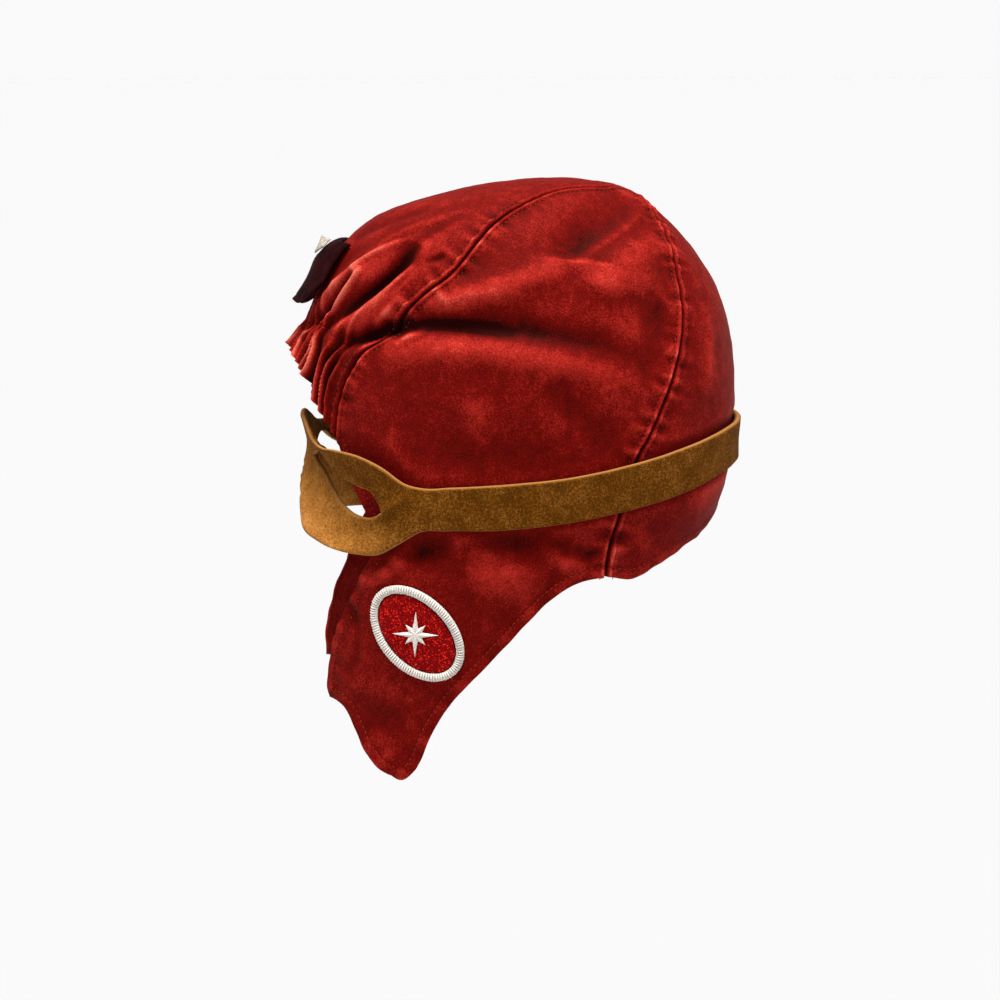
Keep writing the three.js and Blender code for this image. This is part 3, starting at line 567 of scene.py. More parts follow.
def placed(name, mesh):
    """A piece with smooth faces, at the origin."""
    mesh.polygons.foreach_set("use_smooth", np.ones(len(mesh.polygons), bool))
    mesh.update()
    piece = bpy.data.objects.new(name, mesh)
    bpy.context.scene.collection.objects.link(piece)
    return piece


def linear(colour):
    """Linear RGBA of an sRGB hex colour."""
    parts = np.array([int(colour[i:i + 2], 16) for i in (1, 3, 5)]) / 255
    parts = np.where(parts <= 0.04045, parts / 12.92, ((parts + 0.055) / 1.055) ** 2.4)
    return (*parts, 1.0)


def add(tree, kind, inputs=None, stops=(), **settings):
    """Adds a node with its settings. inputs gives numbers, colours or other nodes by socket."""
    node = tree.nodes.new(kind)
    for name, value in settings.items():
        setattr(node, name, value)
    for key, value in (inputs or {}).items():
        if isinstance(value, bpy.types.Node):
            value = value.outputs[0]
        if isinstance(value, bpy.types.NodeSocket):
            tree.links.new(value, node.inputs[key])
        else:
            node.inputs[key].default_value = value
    for i, (place, colour) in enumerate(stops):
        elements = node.color_ramp.elements
        element = elements[i] if i < 2 else elements.new(place)
        element.position = place
        element.color = linear(colour)
    return node


def new_material(name):
    """A material without a surface, its node tree and its coordinates on the piece itself."""
    made = bpy.data.materials.new(name)
    made.use_nodes = True
    made.node_tree.nodes.clear()
    return made, made.node_tree, add(made.node_tree, "ShaderNodeTexCoord").outputs["Object"]


# Brushed cotton suede: a short matt nap that scatters light, with a fine speckle where it was stroked
# up or down, painted shade in deep maroon in the valleys, a painted highlight on the ridges, and paler
# edges. Along the seams and hems each topstitch pulls a thin furrow into it, and painted shade darkens
# these furrows and the groove along each seam. The grain is drawn coarser than a real nap, which is too
# fine to show.
nap_cloud = 16
nap_mark = 4
nap_grain = 0.8
furrow_width = 0.7
suede, tree, place = new_material("brushed_cotton_suede")
tone = -0.2
for size, share in ((nap_cloud, 0.1), (nap_mark, 0.18), (nap_grain, 0.55)):
    nap = add(tree, "ShaderNodeTexNoise", {"Vector": place, "Scale": 1 / (size * MM), "Detail": 2.0})
    tone = add(tree, "ShaderNodeMath", {0: nap, 1: share, 2: tone}, operation="MULTIPLY_ADD")
grain = nap
# Painted shade in the hollows and a painted highlight on the ridges, from how far the cloth stands out.
lifted = add(tree, "ShaderNodeAttribute", attribute_name="relief_shade").outputs["Fac"]
tone = add(tree, "ShaderNodeMath", {0: lifted, 1: 0.21, 2: tone}, operation="MULTIPLY_ADD")
rim = add(tree, "ShaderNodeAttribute", attribute_name="rim").outputs["Fac"]
tone = add(tree, "ShaderNodeMath", {0: rim, 1: 0.12, 2: tone}, operation="MULTIPLY_ADD")
# Painted shade: darker in the furrows that the topstitches pull in and in the groove along each seam;
# the same values also sink the bump there.
furrow_shade_and_depth = 1.0
furrows = (("seam", seam_stitch, 0.35), ("hem", hem_stitch, 0.7), ("seam", 0.0, 0.1))
for label, inset, least in furrows:
    away = add(tree, "ShaderNodeAttribute", attribute_name=label).outputs["Fac"]
    away = add(tree, "ShaderNodeMath", {0: away, 1: inset}, operation="SUBTRACT")
    away = add(tree, "ShaderNodeMath", {0: away}, operation="ABSOLUTE")
    away = add(tree, "ShaderNodeMapRange", {"Value": away, "From Max": furrow_width, "To Min": least})
    furrow_shade_and_depth = add(tree, "ShaderNodeMath", {0: away, 1: furrow_shade_and_depth}, operation="MULTIPLY")
tone = add(tree, "ShaderNodeMath", {0: furrow_shade_and_depth, 1: 0.14, 2: tone}, operation="MULTIPLY_ADD")
colour = add(
    tree, "ShaderNodeValToRGB", {"Fac": tone},
    stops=[(0.02, "#240000"), (0.36, "#640402"), (0.62, "#a0221a"), (1.0, "#d86552")],
)
fuzz = add(tree, "ShaderNodeMath", {0: grain, 1: 0.6, 2: furrow_shade_and_depth}, operation="MULTIPLY_ADD")
bump = add(tree, "ShaderNodeBump", {"Height": fuzz, "Strength": 0.6, "Distance": 0.5 * MM})
skin = add(tree, "ShaderNodeBsdfPrincipled", {
    "Base Color": colour, "Roughness": 0.72, "Specular IOR Level": 0.09, "Normal": bump,
    "Specular Tint": linear("#ffb09c"), "Sheen Weight": 0.05, "Sheen Roughness": 0.5,
    "Sheen Tint": linear("#ff6a55"),
})
add(tree, "ShaderNodeOutputMaterial", {"Surface": skin})


def fit(piece, material, slot, *nodes):
    """Gives a piece its material and puts it in the place of its solids. slot is not used."""
    piece.data.materials.clear()
    piece.data.materials.append(material)
    if nodes:
        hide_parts(*nodes)
    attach(piece, "root")


# Rows shared by the pieces that meet along a seam, each cut into finer ones.
row_share = 10
crown_rows, temple_rows, hem_rows, flap_rows, tip_rows = 15, 4, 4, 7, 3
apex_share = 0.006
nape_at_temple, nape_at_brow = 0.5, 0.64


def side_of(*stretches):
    """Spots down one side of a panel: curves with their rows and the shares they run between."""
    spots = [
        curve(np.linspace(start, end, rows * row_share, endpoint=False))
        for curve, rows, start, end in stretches
    ]
    curve, _, _, end = stretches[-1]
    return np.append(np.concatenate(spots), curve(end))


crown_side = side_of((crown_seam_curve, crown_rows, apex_share, 1))
nape_side = side_of(
    (nape_seam_curve, crown_rows, apex_share, nape_at_temple),
    (nape_seam_curve, temple_rows, nape_at_temple, nape_at_brow),
    (nape_seam_curve, hem_rows, nape_at_brow, 1),
)
flap_front = side_of(
    (temple_seam_curve, temple_rows, 0, 1), (temple_hem_curve, hem_rows, 0, 1),
    (flap_front_curve, flap_rows, 0, 1), (flap_tip_front_curve, tip_rows, 0, 1),
)
flap_rear = side_of((flap_rear_curve, flap_rows, 0, 1), (flap_tip_rear_curve, tip_rows, 0, 1))
side_front = np.append(crown_side, flap_front[1:])[:, None]
side_rear = np.append(nape_side, flap_rear[1:])[:, None]
side_columns = 128
shares = np.linspace(0, 1, side_columns + 1)
side_spots = between(side_front, side_rear, shares)
side_spots[-1] = flap_end(shares)
for side, spots in (("left", side_spots), ("right", mirror(side_spots))):
    panel = shell(f"side_panel_{side}", [cloth(spots)], cloth_wall, seam_gap)
    fit(panel, suede, "suede_cloth", f"side_panel_{side}")

# Front panel. The same suede, from the point at the top of the crown over the brow to the
# elastic, which draws its lower edge in so that folds fan out from it.
front_columns = 290
elastic_shade = 1.2


def elastic_spot(share):
    """Spots along the elastic from the left temple (0) to the right temple (1)."""
    near = elastic_curve(2 * np.minimum(share, 1 - share))
    return np.where(share <= 0.5, near, mirror(near))


shares = np.linspace(0, 1, front_columns + 1)
left = crown_side[:, None]
straight = crown_side[-1] + (mirror(crown_side[-1]) - crown_side[-1]) * shares
bend = np.linspace(0, 1, len(crown_side))[:, None] ** 3
front_spots = left + (mirror(left) - left) * shares + bend * (elastic_spot(shares) - straight)
lowest = np.zeros(front_spots.shape)
lowest[-1] = 1
point, normal, values = cloth(front_spots, fan=1)
above, lengths = elastic_share(front_spots.ravel())
# Painted shade and highlight near the elastic: darker in the gathers' valleys and paler on their
# crests, blending further up into the cloth's painted shade and highlight.
elastic_pleat_shade = (elastic_shade * (pleats(lengths) * opened(lengths) - 0.5)).reshape(lowest.shape)
away = smooth(above, 0, gather_reach).reshape(lowest.shape)
values = (elastic_pleat_shade + (values[0] - elastic_pleat_shade) * away, *values[1:])
panel = shell("front_panel", [(point, normal, values)], cloth_wall, seam_gap, joined=lowest)
fit(panel, suede, "suede_cloth", "front_panel")

# Back panel. The same suede, from the top of the crown down between the two nape seams to a
# turned hem over the nape.
back_columns = 120
shares = np.linspace(0, 1, back_columns + 1)
left = nape_side[:, None]
bend = np.linspace(0, 1, len(nape_side))[:, None] ** 2
near = nape_hem_curve(2 * np.minimum(shares, 1 - shares))
hem = np.where(shares <= 0.5, near, mirror(near))
straight = between(nape_side[-1], mirror(nape_side[-1]), shares)
back_spots = between(left, mirror(left), shares) + bend * (hem - straight)
panel = shell("back_panel", [cloth(back_spots)], cloth_wall, seam_gap)
fit(panel, suede, "suede_cloth", "back_panel")

# Seam allowances. Behind each seam the two cut edges of the panels are turned to both sides and
# held by the topstitching, a flat strip of the same suede that closes the seam from inside.
allowance = 6
allowance_wall = 1
allowance_gap = 0.2
run = np.linspace(0.03, 0.985, 160)


def beside(spots, offset):
    """Spots at a distance to one side of a line on the cap."""
    along = unit(np.gradient(head_point(spots), axis=0))
    u, v = head_steps(spots)
    move = np.cross(head_normal(spots), along) * offset
    uu, uv, vv = (u * u).sum(-1), (u * v).sum(-1), (v * v).sum(-1)
    mu, mv = (move * u).sum(-1), (move * v).sum(-1)
    step = (mu * vv - mv * uv) + 1j * (mv * uu - mu * uv)
    return spots + step / (uu * vv - uv * uv)


seam_runs = [
    np.concatenate([crown_seam_curve(run), temple_seam_curve(run)]),
    np.append(nape_seam_curve(run), nape_seam_curve(1)),
]
for label, spots in zip(("crown", "nape"), seam_runs):
    strip = np.stack([beside(spots, offset) for offset in np.linspace(-allowance, allowance, 9)], 1)
    for side, half in (("left", strip), ("right", mirror(strip))):
        grid = cloth(half, extra=-cloth_wall - allowance_gap)
        tape = shell(f"{label}_seam_allowance_{side}", [grid], allowance_wall)
        fit(tape, suede, "suede_cloth")

# Gathered brow. The front panel's lower edge below the elastic: pleats squeezed side by side,
# standing out from the brow as an uneven frill with a raw, rolled edge.
brim_line = [
    (0.872, -56), (0.85, -57.3), (0.818, -59.5), (0.775, -62), (0.737, -66), (0.695, -75.5),
    (0.675, -90),
]
brim_flare = 6.5
brim_rise = 1.6
brim_ends = 0.3
pleat_rise = 3
pleat_slant, pleat_sway = 0.012, 0.011
gather_rows, pleat_columns = 36, 22
gather_tone = 1.15
shares = np.linspace(0, 1, pleat_count * pleat_columns + 1)
row = np.linspace(0, 1, gather_rows + 1)[:, None]
near = np.minimum(shares, 1 - shares) * 2
top, bottom = elastic_curve(near), edge_curve(brim_line)(near)
spots = top + (bottom - top) * row
straight = elastic_curve(0) + (bottom[0] - elastic_curve(0)) * row
spots = spots + (temple_seam_curve(row) - straight) * (1 - near) ** 4
spots = np.where(shares <= 0.5, spots, mirror(spots))
lengths = elastic_share(spots[0])[1]
slanted = lengths + pleat_slant * row * np.sign(0.5 - shares) * smooth(near, 0, brim_ends)
swaying = pleat_sway * np.sin(5 * row + 23 * shares)
slanted = slanted + swaying * np.sin(np.pi * np.minimum(row, 0.5))
wave = pleats(slanted) * opened(lengths)
middle = 0.7 + 0.3 * smooth(near, 0.5, 1)
flare = brim_flare * smooth(near, 0, brim_ends) * middle * row ** 1.5
depth = elastic_rise + (pleat_rise - elastic_rise) * smooth(row, 0, 0.35)
point, normal, values = cloth(spots, extra=flare + depth * wave)
point[..., 2] += brim_rise * row ** 2 * wave
highest = np.zeros(spots.shape)
highest[0] = 1
# Painted shade and highlight of the gathers: along the elastic from their crests and valleys, lower
# down from how far the pleats stand out, and darker overall away from the temples.
elastic_pleat_shade = elastic_shade * (wave - 0.5)
away = smooth(row, 0, 0.3)
pleat_relief_shade = relief_shade(depth * wave) * gather_tone - opened(lengths)
values = (elastic_pleat_shade + (pleat_relief_shade - elastic_pleat_shade) * away, *values[1:])
gather = shell("brow_gather", [(point, normal, values)], cloth_wall, seam_gap, joined=highest)
fit(gather, suede, "suede_cloth", "brow_gather")

# Goggle mask. One strip of thick pressed wool felt, cut with two eye holes and closed at the back.
# Its cut edges are paler than its outside. It lies on the cloth and stands free in front of it.
felt_wall = 3
eye_hole = table(
    "bearing upper lower",
    (-75, 0.928, 0.928), (-72, 0.918, 0.936), (-66, 0.91, 0.945), (-62, 0.917, 0.958),
    (-57, 0.939, 0.994), (-52, 0.957, 1.026), (-46, 0.974, 1.049), (-41, 0.989, 1.052),
    (-37.5, 1.033, 1.033),
)
dish_curve = 1.3
felt_creases = table(
    "down1 bearing1 down2 bearing2 down3 bearing3 rise spread",
    (1.045, -39, 1.021, -35, 0.985, -30, 2.2, 2.6),
    (0.985, -84, 0.97, -74, 0.965, -63, -1.1, 1.5),
    (1.006, -84, 0.992, -74, 0.986, -65, -1, 1.5),
    (1.03, -80, 1.02, -72, 1.008, -66, -0.7, 1.7),
    (1.14, -53, 1.1, -44, 1.066, -37, -0.9, 4),
)
hole_inner, hole_outer = -75, -37.5
hole_columns = 0.5 - 0.5 * np.cos(np.linspace(0, np.pi, 61))
bearings = np.concatenate([
    np.linspace(-90, hole_inner, 24)[:-1],
    hole_inner + (hole_outer - hole_inner) * hole_columns,
    np.linspace(hole_outer, 90, 171)[1:],
])


def felt(down, bearing, across, side):
    """Points of the felt's outside: across is 0 at its top edge and 1 at its bottom edge."""
    spot = spot_at(down, bearing)
    top = column(band_edges, "bearing", "dish_top", bearing)
    bottom = column(band_edges, "bearing", "dish_bottom", bearing)
    middle = column(band_edges, "bearing", "dish_middle", bearing)
    share = np.abs(2 * across - 1) ** dish_curve
    dish = middle + (np.where(across < 0.5, top, bottom) - middle) * share
    normal = head_normal(spot.ravel()).reshape(*spot.shape, 3)
    point = head_point(spot)
    waves = 0.35 * rough(point.reshape(-1, 3), 11, 1.9)
    for line, rise, spread in fold_rows(felt_creases):
        gap, along = near_line(point.reshape(-1, 3), line)
        waves += rise * np.sqrt(4 * along * (1 - along)) * bell(gap, spread)
    waves = waves.reshape(spot.shape)
    point = point + normal * (layer_gap + felt_wall + dish_depth * dish + waves)[..., None]
    return point * (side, 1, 1), normal * (side, 1, 1), np.zeros((3, *dish.shape))


top = column(band_edges, "bearing", "top", bearings)
bottom = column(band_edges, "bearing", "bottom", bearings)
corner = np.where(bearings < hole_inner, eye_hole["upper"][0], eye_hole["upper"][-1])
plain = np.maximum(smooth(bearings, hole_outer, -20), smooth(-bearings, -hole_inner, 90))
middle = corner + ((top + bottom) / 2 - corner) * plain
at_hole = (bearings >= hole_inner) & (bearings <= hole_outer)
upper = np.where(at_hole, column(eye_hole, "bearing", "upper", bearings), middle)
lower = np.where(at_hole, column(eye_hole, "bearing", "lower", bearings), middle)
half = np.linspace(0, 1, 15)[:, None]
grids = []
for side in (1, -1):
    wide = np.broadcast_to(bearings, (15, len(bearings)))
    grids.append(felt(top + (upper - top) * half, wide, half / 2 + 0 * wide, side))
    grids.append(felt(lower + (bottom - lower) * half, wide, (1 + half) / 2 + 0 * wide, side))
mask = shell("goggle_band", grids, felt_wall)

# Pressed wool felt: thick, matt and granular, with tufts of darker and paler fibre and a pale, pinkish
# cut edge. The lower front of the mask is painted paler than the strap, as painted light where more
# light falls.
felt_cloud = 9
felt_tuft = 1.3
felt_fibre = 0.6
lit_front_start = 212
lit_front_end = 262
lit_front_tone = 0.33
wool, tree, place = new_material("pressed_wool_felt")
layers = []
tone = -0.1
for size, detail, share in ((felt_cloud, 2.0, 0.25), (felt_tuft, 3.0, 0.4), (felt_fibre, 2.0, 0.55)):
    layers.append(add(tree, "ShaderNodeTexNoise", {
        "Vector": place, "Scale": 1 / (size * MM), "Detail": detail,
    }))
    tone = add(tree, "ShaderNodeMath", {0: layers[-1], 1: share, 2: tone}, operation="MULTIPLY_ADD")
_, tuft, fibre = layers
# Painted light: the felt gets paler towards the lower front of the mask.
forward = add(tree, "ShaderNodeVectorMath", {0: place, 1: (0, -1, -1)}, operation="DOT_PRODUCT")
painted_front_light = add(tree, "ShaderNodeMapRange", {
    "Value": forward.outputs["Value"], "From Min": lit_front_start * MM, "From Max": lit_front_end * MM,
    "To Max": lit_front_tone,
})
tone = add(tree, "ShaderNodeMath", {0: tone, 1: painted_front_light}, operation="ADD")
face = add(
    tree, "ShaderNodeValToRGB", {"Fac": tone},
    stops=[(0.22, "#2d1800"), (0.5, "#5b3203"), (0.74, "#986126"), (1.0, "#d08c48")],
)
rim = add(tree, "ShaderNodeAttribute", attribute_name="rim")
cut = linear("#a3713d")
edge = add(tree, "ShaderNodeMix", {0: rim.outputs["Fac"], 6: face, 7: cut}, data_type="RGBA")
fuzz = add(tree, "ShaderNodeMath", {0: fibre, 1: 0.6, 2: tuft}, operation="MULTIPLY_ADD")
bump = add(tree, "ShaderNodeBump", {"Height": fuzz, "Strength": 0.8, "Distance": 0.8 * MM})
skin = add(tree, "ShaderNodeBsdfPrincipled", {
    "Base Color": edge.outputs[2], "Roughness": 0.9, "Specular IOR Level": 0.03, "Normal": bump,
    "Sheen Weight": 0.05, "Sheen Roughness": 0.6, "Sheen Tint": linear("#e2a76a"),
})
add(tree, "ShaderNodeOutputMaterial", {"Surface": skin})
fit(mask, wool, "felt", "goggle_band")

# Patch on the left flap: an oval of glittering red embroidery inside a raised white overlocked
# edge, with a plain eight-pointed star in white satin stitch. It is sewn flat on the cloth.
patch_width = 36
patch_turn = 45
patch_border = 4
patch_wall = 1.2
border_wall = 1.8
star_reach = 11
star_wall = 0.8
patch_middle = spot_at(*patch_place)


def spot_from(middle, across, downward):
    """Spots some millimetres along and down the cloth from a middle spot."""
    turn_step, down_step = 0.5, 0.01
    down, bearing = np.abs(middle), np.degrees(np.angle(middle))
    here = head_point(middle)
    per_turn = np.linalg.norm(head_point(spot_at(down, bearing + turn_step)) - here) / turn_step
    per_down = np.linalg.norm(head_point(spot_at(down + down_step, bearing)) - here) / down_step
    return spot_at(down + downward / per_down, bearing + across / per_turn)


def patch_spot(inset, turn, reach=1):
    """Spots of the oval: inset from its edge, at a turn and a share of the way out."""
    along = (patch_length / 2 - inset) * reach * np.cos(turn)
    across = (patch_width / 2 - inset) * reach * np.sin(turn)
    tilt = np.radians(patch_turn)
    return spot_from(
        patch_middle, along * np.cos(tilt) - across * np.sin(tilt),
        along * np.sin(tilt) + across * np.cos(tilt),
    )


turn = np.linspace(0, 2 * np.pi, 97)
ring = np.linspace(0, 1, 25)[:, None]
lift = layer_gap + patch_wall + 0 * ring - 0.35 * ring ** 8
grid = cloth(patch_spot(patch_border + layer_gap, turn, ring), extra=lift + 0 * turn)
ground = shell("patch_ground", [grid], patch_wall, bulge=0.1)

# Glitter thread: fine rows of red embroidery thread with a metal foil in it, so that single stitches
# flash while the rest stays deep red. The flashing stitches are coloured bright red, partly the foil's
# own colour and partly a painted glint. The rows are drawn twice as coarse as real ones.
thread_row = 0.8
flash_size = 0.55
wave_length = 0.314
glitter, tree, place = new_material("red_glitter_thread")
rows = add(tree, "ShaderNodeTexWave", {
    "Vector": place, "Scale": wave_length / (thread_row * MM), "Distortion": 0.6, "Detail": 1.0,
}, bands_direction="DIAGONAL")
flash = add(tree, "ShaderNodeTexVoronoi", {"Vector": place, "Scale": 1 / (flash_size * MM)})
chance = add(tree, "ShaderNodeSeparateColor", {"Color": flash.outputs["Color"]})
# Painted glint: sparse stitches coloured bright red, partly the foil's own colour.
foil_colour_and_glint = add(tree, "ShaderNodeValToRGB", {"Fac": chance.outputs["Red"]},
             stops=[(0.78, "#780001"), (0.96, "#ff2a20")])
shine = add(tree, "ShaderNodeMapRange", {
    "Value": chance.outputs["Red"], "From Min": 0.7, "From Max": 0.9, "To Min": 0.6, "To Max": 0.25,
})
metal = add(tree, "ShaderNodeMapRange", {
    "Value": chance.outputs["Red"], "From Min": 0.8, "From Max": 0.9, "To Min": 0.0, "To Max": 0.5,
})
height = add(tree, "ShaderNodeMath", {
    0: chance.outputs["Green"], 1: 0.7, 2: rows,
}, operation="MULTIPLY_ADD")
bump = add(tree, "ShaderNodeBump", {"Height": height, "Strength": 0.7, "Distance": 0.25 * MM})
skin = add(tree, "ShaderNodeBsdfPrincipled", {
    "Base Color": foil_colour_and_glint, "Roughness": shine, "Metallic": metal, "Specular IOR Level": 0.05,
    "Normal": bump,
})
add(tree, "ShaderNodeOutputMaterial", {"Surface": skin})
fit(ground, glitter, "patch_ground", "patch_ground")

# Polyester embroidery thread: white with a soft silk gloss, and painted shade that turns it a little
# grey between its turns, which are drawn somewhat coarser than real ones.
satin_row = 0.5
satin, tree, place = new_material("white_embroidery_thread")
twist = add(tree, "ShaderNodeTexNoise", {"Vector": place, "Scale": 1 / (satin_row * MM), "Detail": 2.0})
# Painted shade: greyer where the twist is low, in the hollows of its bump.
colour = add(tree, "ShaderNodeValToRGB", {"Fac": twist}, stops=[(0.3, "#b9b2a8"), (0.7, "#efe9e0")])
bump = add(tree, "ShaderNodeBump", {"Height": twist, "Strength": 0.4, "Distance": 0.15 * MM})
skin = add(tree, "ShaderNodeBsdfPrincipled", {
    "Base Color": colour, "Roughness": 0.55, "Normal": bump, "Sheen Weight": 0.2,
})
add(tree, "ShaderNodeOutputMaterial", {"Surface": skin})


def path(name, lines):
    """Lines of points and outward directions, as loose edges that Geometry Nodes can follow."""
    points = np.concatenate([line[0] for line in lines])
    outward = np.concatenate([line[1] for line in lines])
    edges, start = [], 0
    for line, _ in lines:
        edges += [(start + i, start + i + 1) for i in range(len(line) - 1)]
        start += len(line)
    mesh = bpy.data.meshes.new(name)
    mesh.from_pydata((points * MM).tolist(), edges, [])
    attribute = mesh.attributes.new("outward", "FLOAT_VECTOR", "POINT")
    attribute.data.foreach_set("vector", outward.ravel().astype(np.float32))
    made = bpy.data.objects.new(name, mesh)
    bpy.context.scene.collection.objects.link(made)
    return made


def thread_tree(name, sizes, shape):
    """A tree that lays one thread shape after another along lines. shape adds the nodes of one
    thread, lying along X with its top up +Z, from the named sizes."""
    tree = bpy.data.node_groups.new(name, "GeometryNodeTree")
    tree.interface.new_socket("Geometry", in_out="OUTPUT", socket_type="NodeSocketGeometry")
    tree.interface.new_socket("Geometry", in_out="INPUT", socket_type="NodeSocketGeometry")
    for size in ("Pitch", "Unevenness", *sizes):
        tree.interface.new_socket(size, in_out="INPUT", socket_type="NodeSocketFloat")
    tree.interface.new_socket("Seed", in_out="INPUT", socket_type="NodeSocketInt")
    tree.interface.new_socket("Material", in_out="INPUT", socket_type="NodeSocketMaterial")
    given = add(tree, "NodeGroupInput").outputs
    line = add(tree, "GeometryNodeMeshToCurve", {"Mesh": given["Geometry"]})
    line = add(tree, "GeometryNodeResampleCurve", {
        "Curve": line, "Length": given["Pitch"],
    }, mode="LENGTH")
    outward = add(tree, "GeometryNodeInputNamedAttribute", {"Name": "outward"},
                  data_type="FLOAT_VECTOR")
    turned = add(tree, "FunctionNodeAlignRotationToVector",
                 {"Vector": add(tree, "GeometryNodeInputTangent")}, axis="X")
    turned = add(tree, "FunctionNodeAlignRotationToVector",
                 {"Rotation": turned, "Vector": outward}, axis="Z", pivot_axis="X")
    least = add(tree, "ShaderNodeMath", {0: 1.0, 1: given["Unevenness"]}, operation="SUBTRACT")
    grown = add(tree, "FunctionNodeRandomValue", {2: least, 3: 1.0, "Seed": given["Seed"]},
                data_type="FLOAT")
    laid = add(tree, "GeometryNodeInstanceOnPoints", {
        "Points": line, "Instance": shape(tree, given), "Rotation": turned, "Scale": grown.outputs[1],
    })
    real = add(tree, "GeometryNodeRealizeInstances", {"Geometry": laid})
    smooth_faces = add(tree, "GeometryNodeSetShadeSmooth", {"Geometry": real})
    done = add(tree, "GeometryNodeSetMaterial", {
        "Geometry": smooth_faces, "Material": given["Material"],
    })
    add(tree, "NodeGroupOutput", {"Geometry": done})
    return tree


def grow(name, tree, source, sizes):
    """Runs a tree on lines and keeps the result as a plain mesh piece. Sizes are by input name."""
    modifier = source.modifiers.new("threads", "NODES")
    modifier.node_group = tree
    for socket in tree.interface.items_tree:
        if socket.name in sizes:
            modifier[socket.identifier] = sizes[socket.name]
    view = bpy.context.evaluated_depsgraph_get()
    mesh = bpy.data.meshes.new_from_object(source.evaluated_get(view))
    mesh.name = name
    bpy.data.objects.remove(source)
    return placed(name, mesh)


def wrap_shape(tree, given):
    """One turn of overlock thread: a bow over the patch's edge, from side to side."""
    half = add(tree, "ShaderNodeMath", {0: given["Width"], 1: 0.5}, operation="MULTIPLY")
    other = add(tree, "ShaderNodeMath", {0: half, 1: -1.0}, operation="MULTIPLY")
    lean = add(tree, "ShaderNodeMath", {0: half, 1: 0.12}, operation="MULTIPLY")
    bow = add(tree, "GeometryNodeCurveQuadraticBezier", {
        "Resolution": 6,
        "Start": add(tree, "ShaderNodeCombineXYZ", {"X": lean, "Y": other}),
        "Middle": add(tree, "ShaderNodeCombineXYZ", {"Z": given["Rise"]}),
        "End": add(tree, "ShaderNodeCombineXYZ", {"Y": half}),
    })
    ring = add(tree, "GeometryNodeCurvePrimitiveCircle", {"Resolution": 5, "Radius": given["Radius"]})
    return add(tree, "GeometryNodeCurveToMesh", {
        "Curve": bow, "Profile Curve": ring, "Fill Caps": True,
    })


wrap_pitch = 1.2
wrap_rise = 2.8
wrap_radius = 0.48
across = np.linspace(0, 1, 11)[:, None]
hump = np.sqrt(1 - (2 * across - 1) ** 2 * 0.98)
lift = layer_gap + border_wall * (0.25 + 0.4 * hump)
border_grid = cloth(patch_spot(patch_border * (1 - across), turn), extra=lift + 0 * turn)
border = shell("patch_edge_core", [border_grid], border_wall * 0.4, bulge=0.1)
rail = cloth(patch_spot(patch_border / 2, np.linspace(0, 2 * np.pi, 181)[None]), extra=layer_gap + 0.5)
wraps = thread_tree("overlock_turns", ("Width", "Rise", "Radius"), wrap_shape)
turns = grow("patch_overlock", wraps, path("patch_rail", [(rail[0][0], rail[1][0])]), {
    "Pitch": wrap_pitch * MM, "Unevenness": 0.12, "Width": (patch_border - 0.4) * MM,
    "Rise": wrap_rise * MM, "Radius": wrap_radius * MM, "Seed": 4, "Material": satin,
})
fit(border, satin, "patch_thread", "patch_border")
fit(turns, satin, "patch_thread")

# Star of eight rays in satin stitch, the long rays upright and level. Each ray is fullest along
# its middle, where the stitches from its two sides meet.
ray_count = 8
outline = []
for i in range(2 * ray_count + 1):
    long_ray = 1 if i % 4 == 0 else 0.6
    reach = star_reach * (long_ray if i % 2 == 0 else 0.3)
    outline.append(reach * np.exp(1j * np.pi * i / ray_count))
fine = np.linspace(0, 2 * ray_count, 2 * ray_count * 8 + 1)
rim_points = np.interp(fine, np.arange(len(outline)), np.array(outline))
off_ray = np.abs((fine + 1) % 2 - 1)
ring = np.linspace(0, 1, 15)[:, None]
flat = rim_points * ring
puff = (1 - off_ray) * (1 - ring ** 3) + off_ray * (1 - ring)
lift = layer_gap * 2 + patch_wall + star_wall * (0.35 + 0.9 * puff)
grid = cloth(spot_from(patch_middle, flat.real, flat.imag), extra=lift)
star = shell("patch_star", [grid], star_wall * 0.3, bulge=0.05)
fit(star, satin, "patch_thread", "patch_star")

# Topstitching: rows of short dark red lock stitches on both sides of each seam and along the
# turned hems, which sink into the suede.
stitch_pitch = 2.7
stitch_length = 2
stitch_width = 0.5
stitch_lift = 0.1


def stitch_shape(tree, given):
    """One stitch: a slim bead of thread."""
    bead = add(tree, "GeometryNodeMeshUVSphere", {"Segments": 6, "Rings": 5, "Radius": 1.0})
    size = add(tree, "ShaderNodeCombineXYZ", {
        "X": given["Length"], "Y": given["Width"], "Z": given["Width"],
    })
    halved = add(tree, "ShaderNodeVectorMath", {0: size, 1: (0.5, 0.5, 0.4)}, operation="MULTIPLY")
    return add(tree, "GeometryNodeTransform", {"Geometry": bead, "Scale": halved})


def stitch_line(spots):
    """Points and outward directions of a row of stitches, on both halves of the cap."""
    for way in (spots, mirror(spots)):
        point, normal, _ = cloth(way[None], extra=stitch_lift)
        yield point[0], normal[0]


lines = []
for spots in seam_runs:
    for offset in (-seam_stitch, seam_stitch):
        lines += stitch_line(beside(spots, offset))
hem_spots = np.concatenate([curve(run) for curve in hem_curves[:-1]])
lines += stitch_line(beside(hem_spots, hem_stitch))
lines += stitch_line(beside(nape_hem_curve(run), hem_stitch))
stitch_rows = thread_tree("stitch_rows", ("Length", "Width"), stitch_shape)

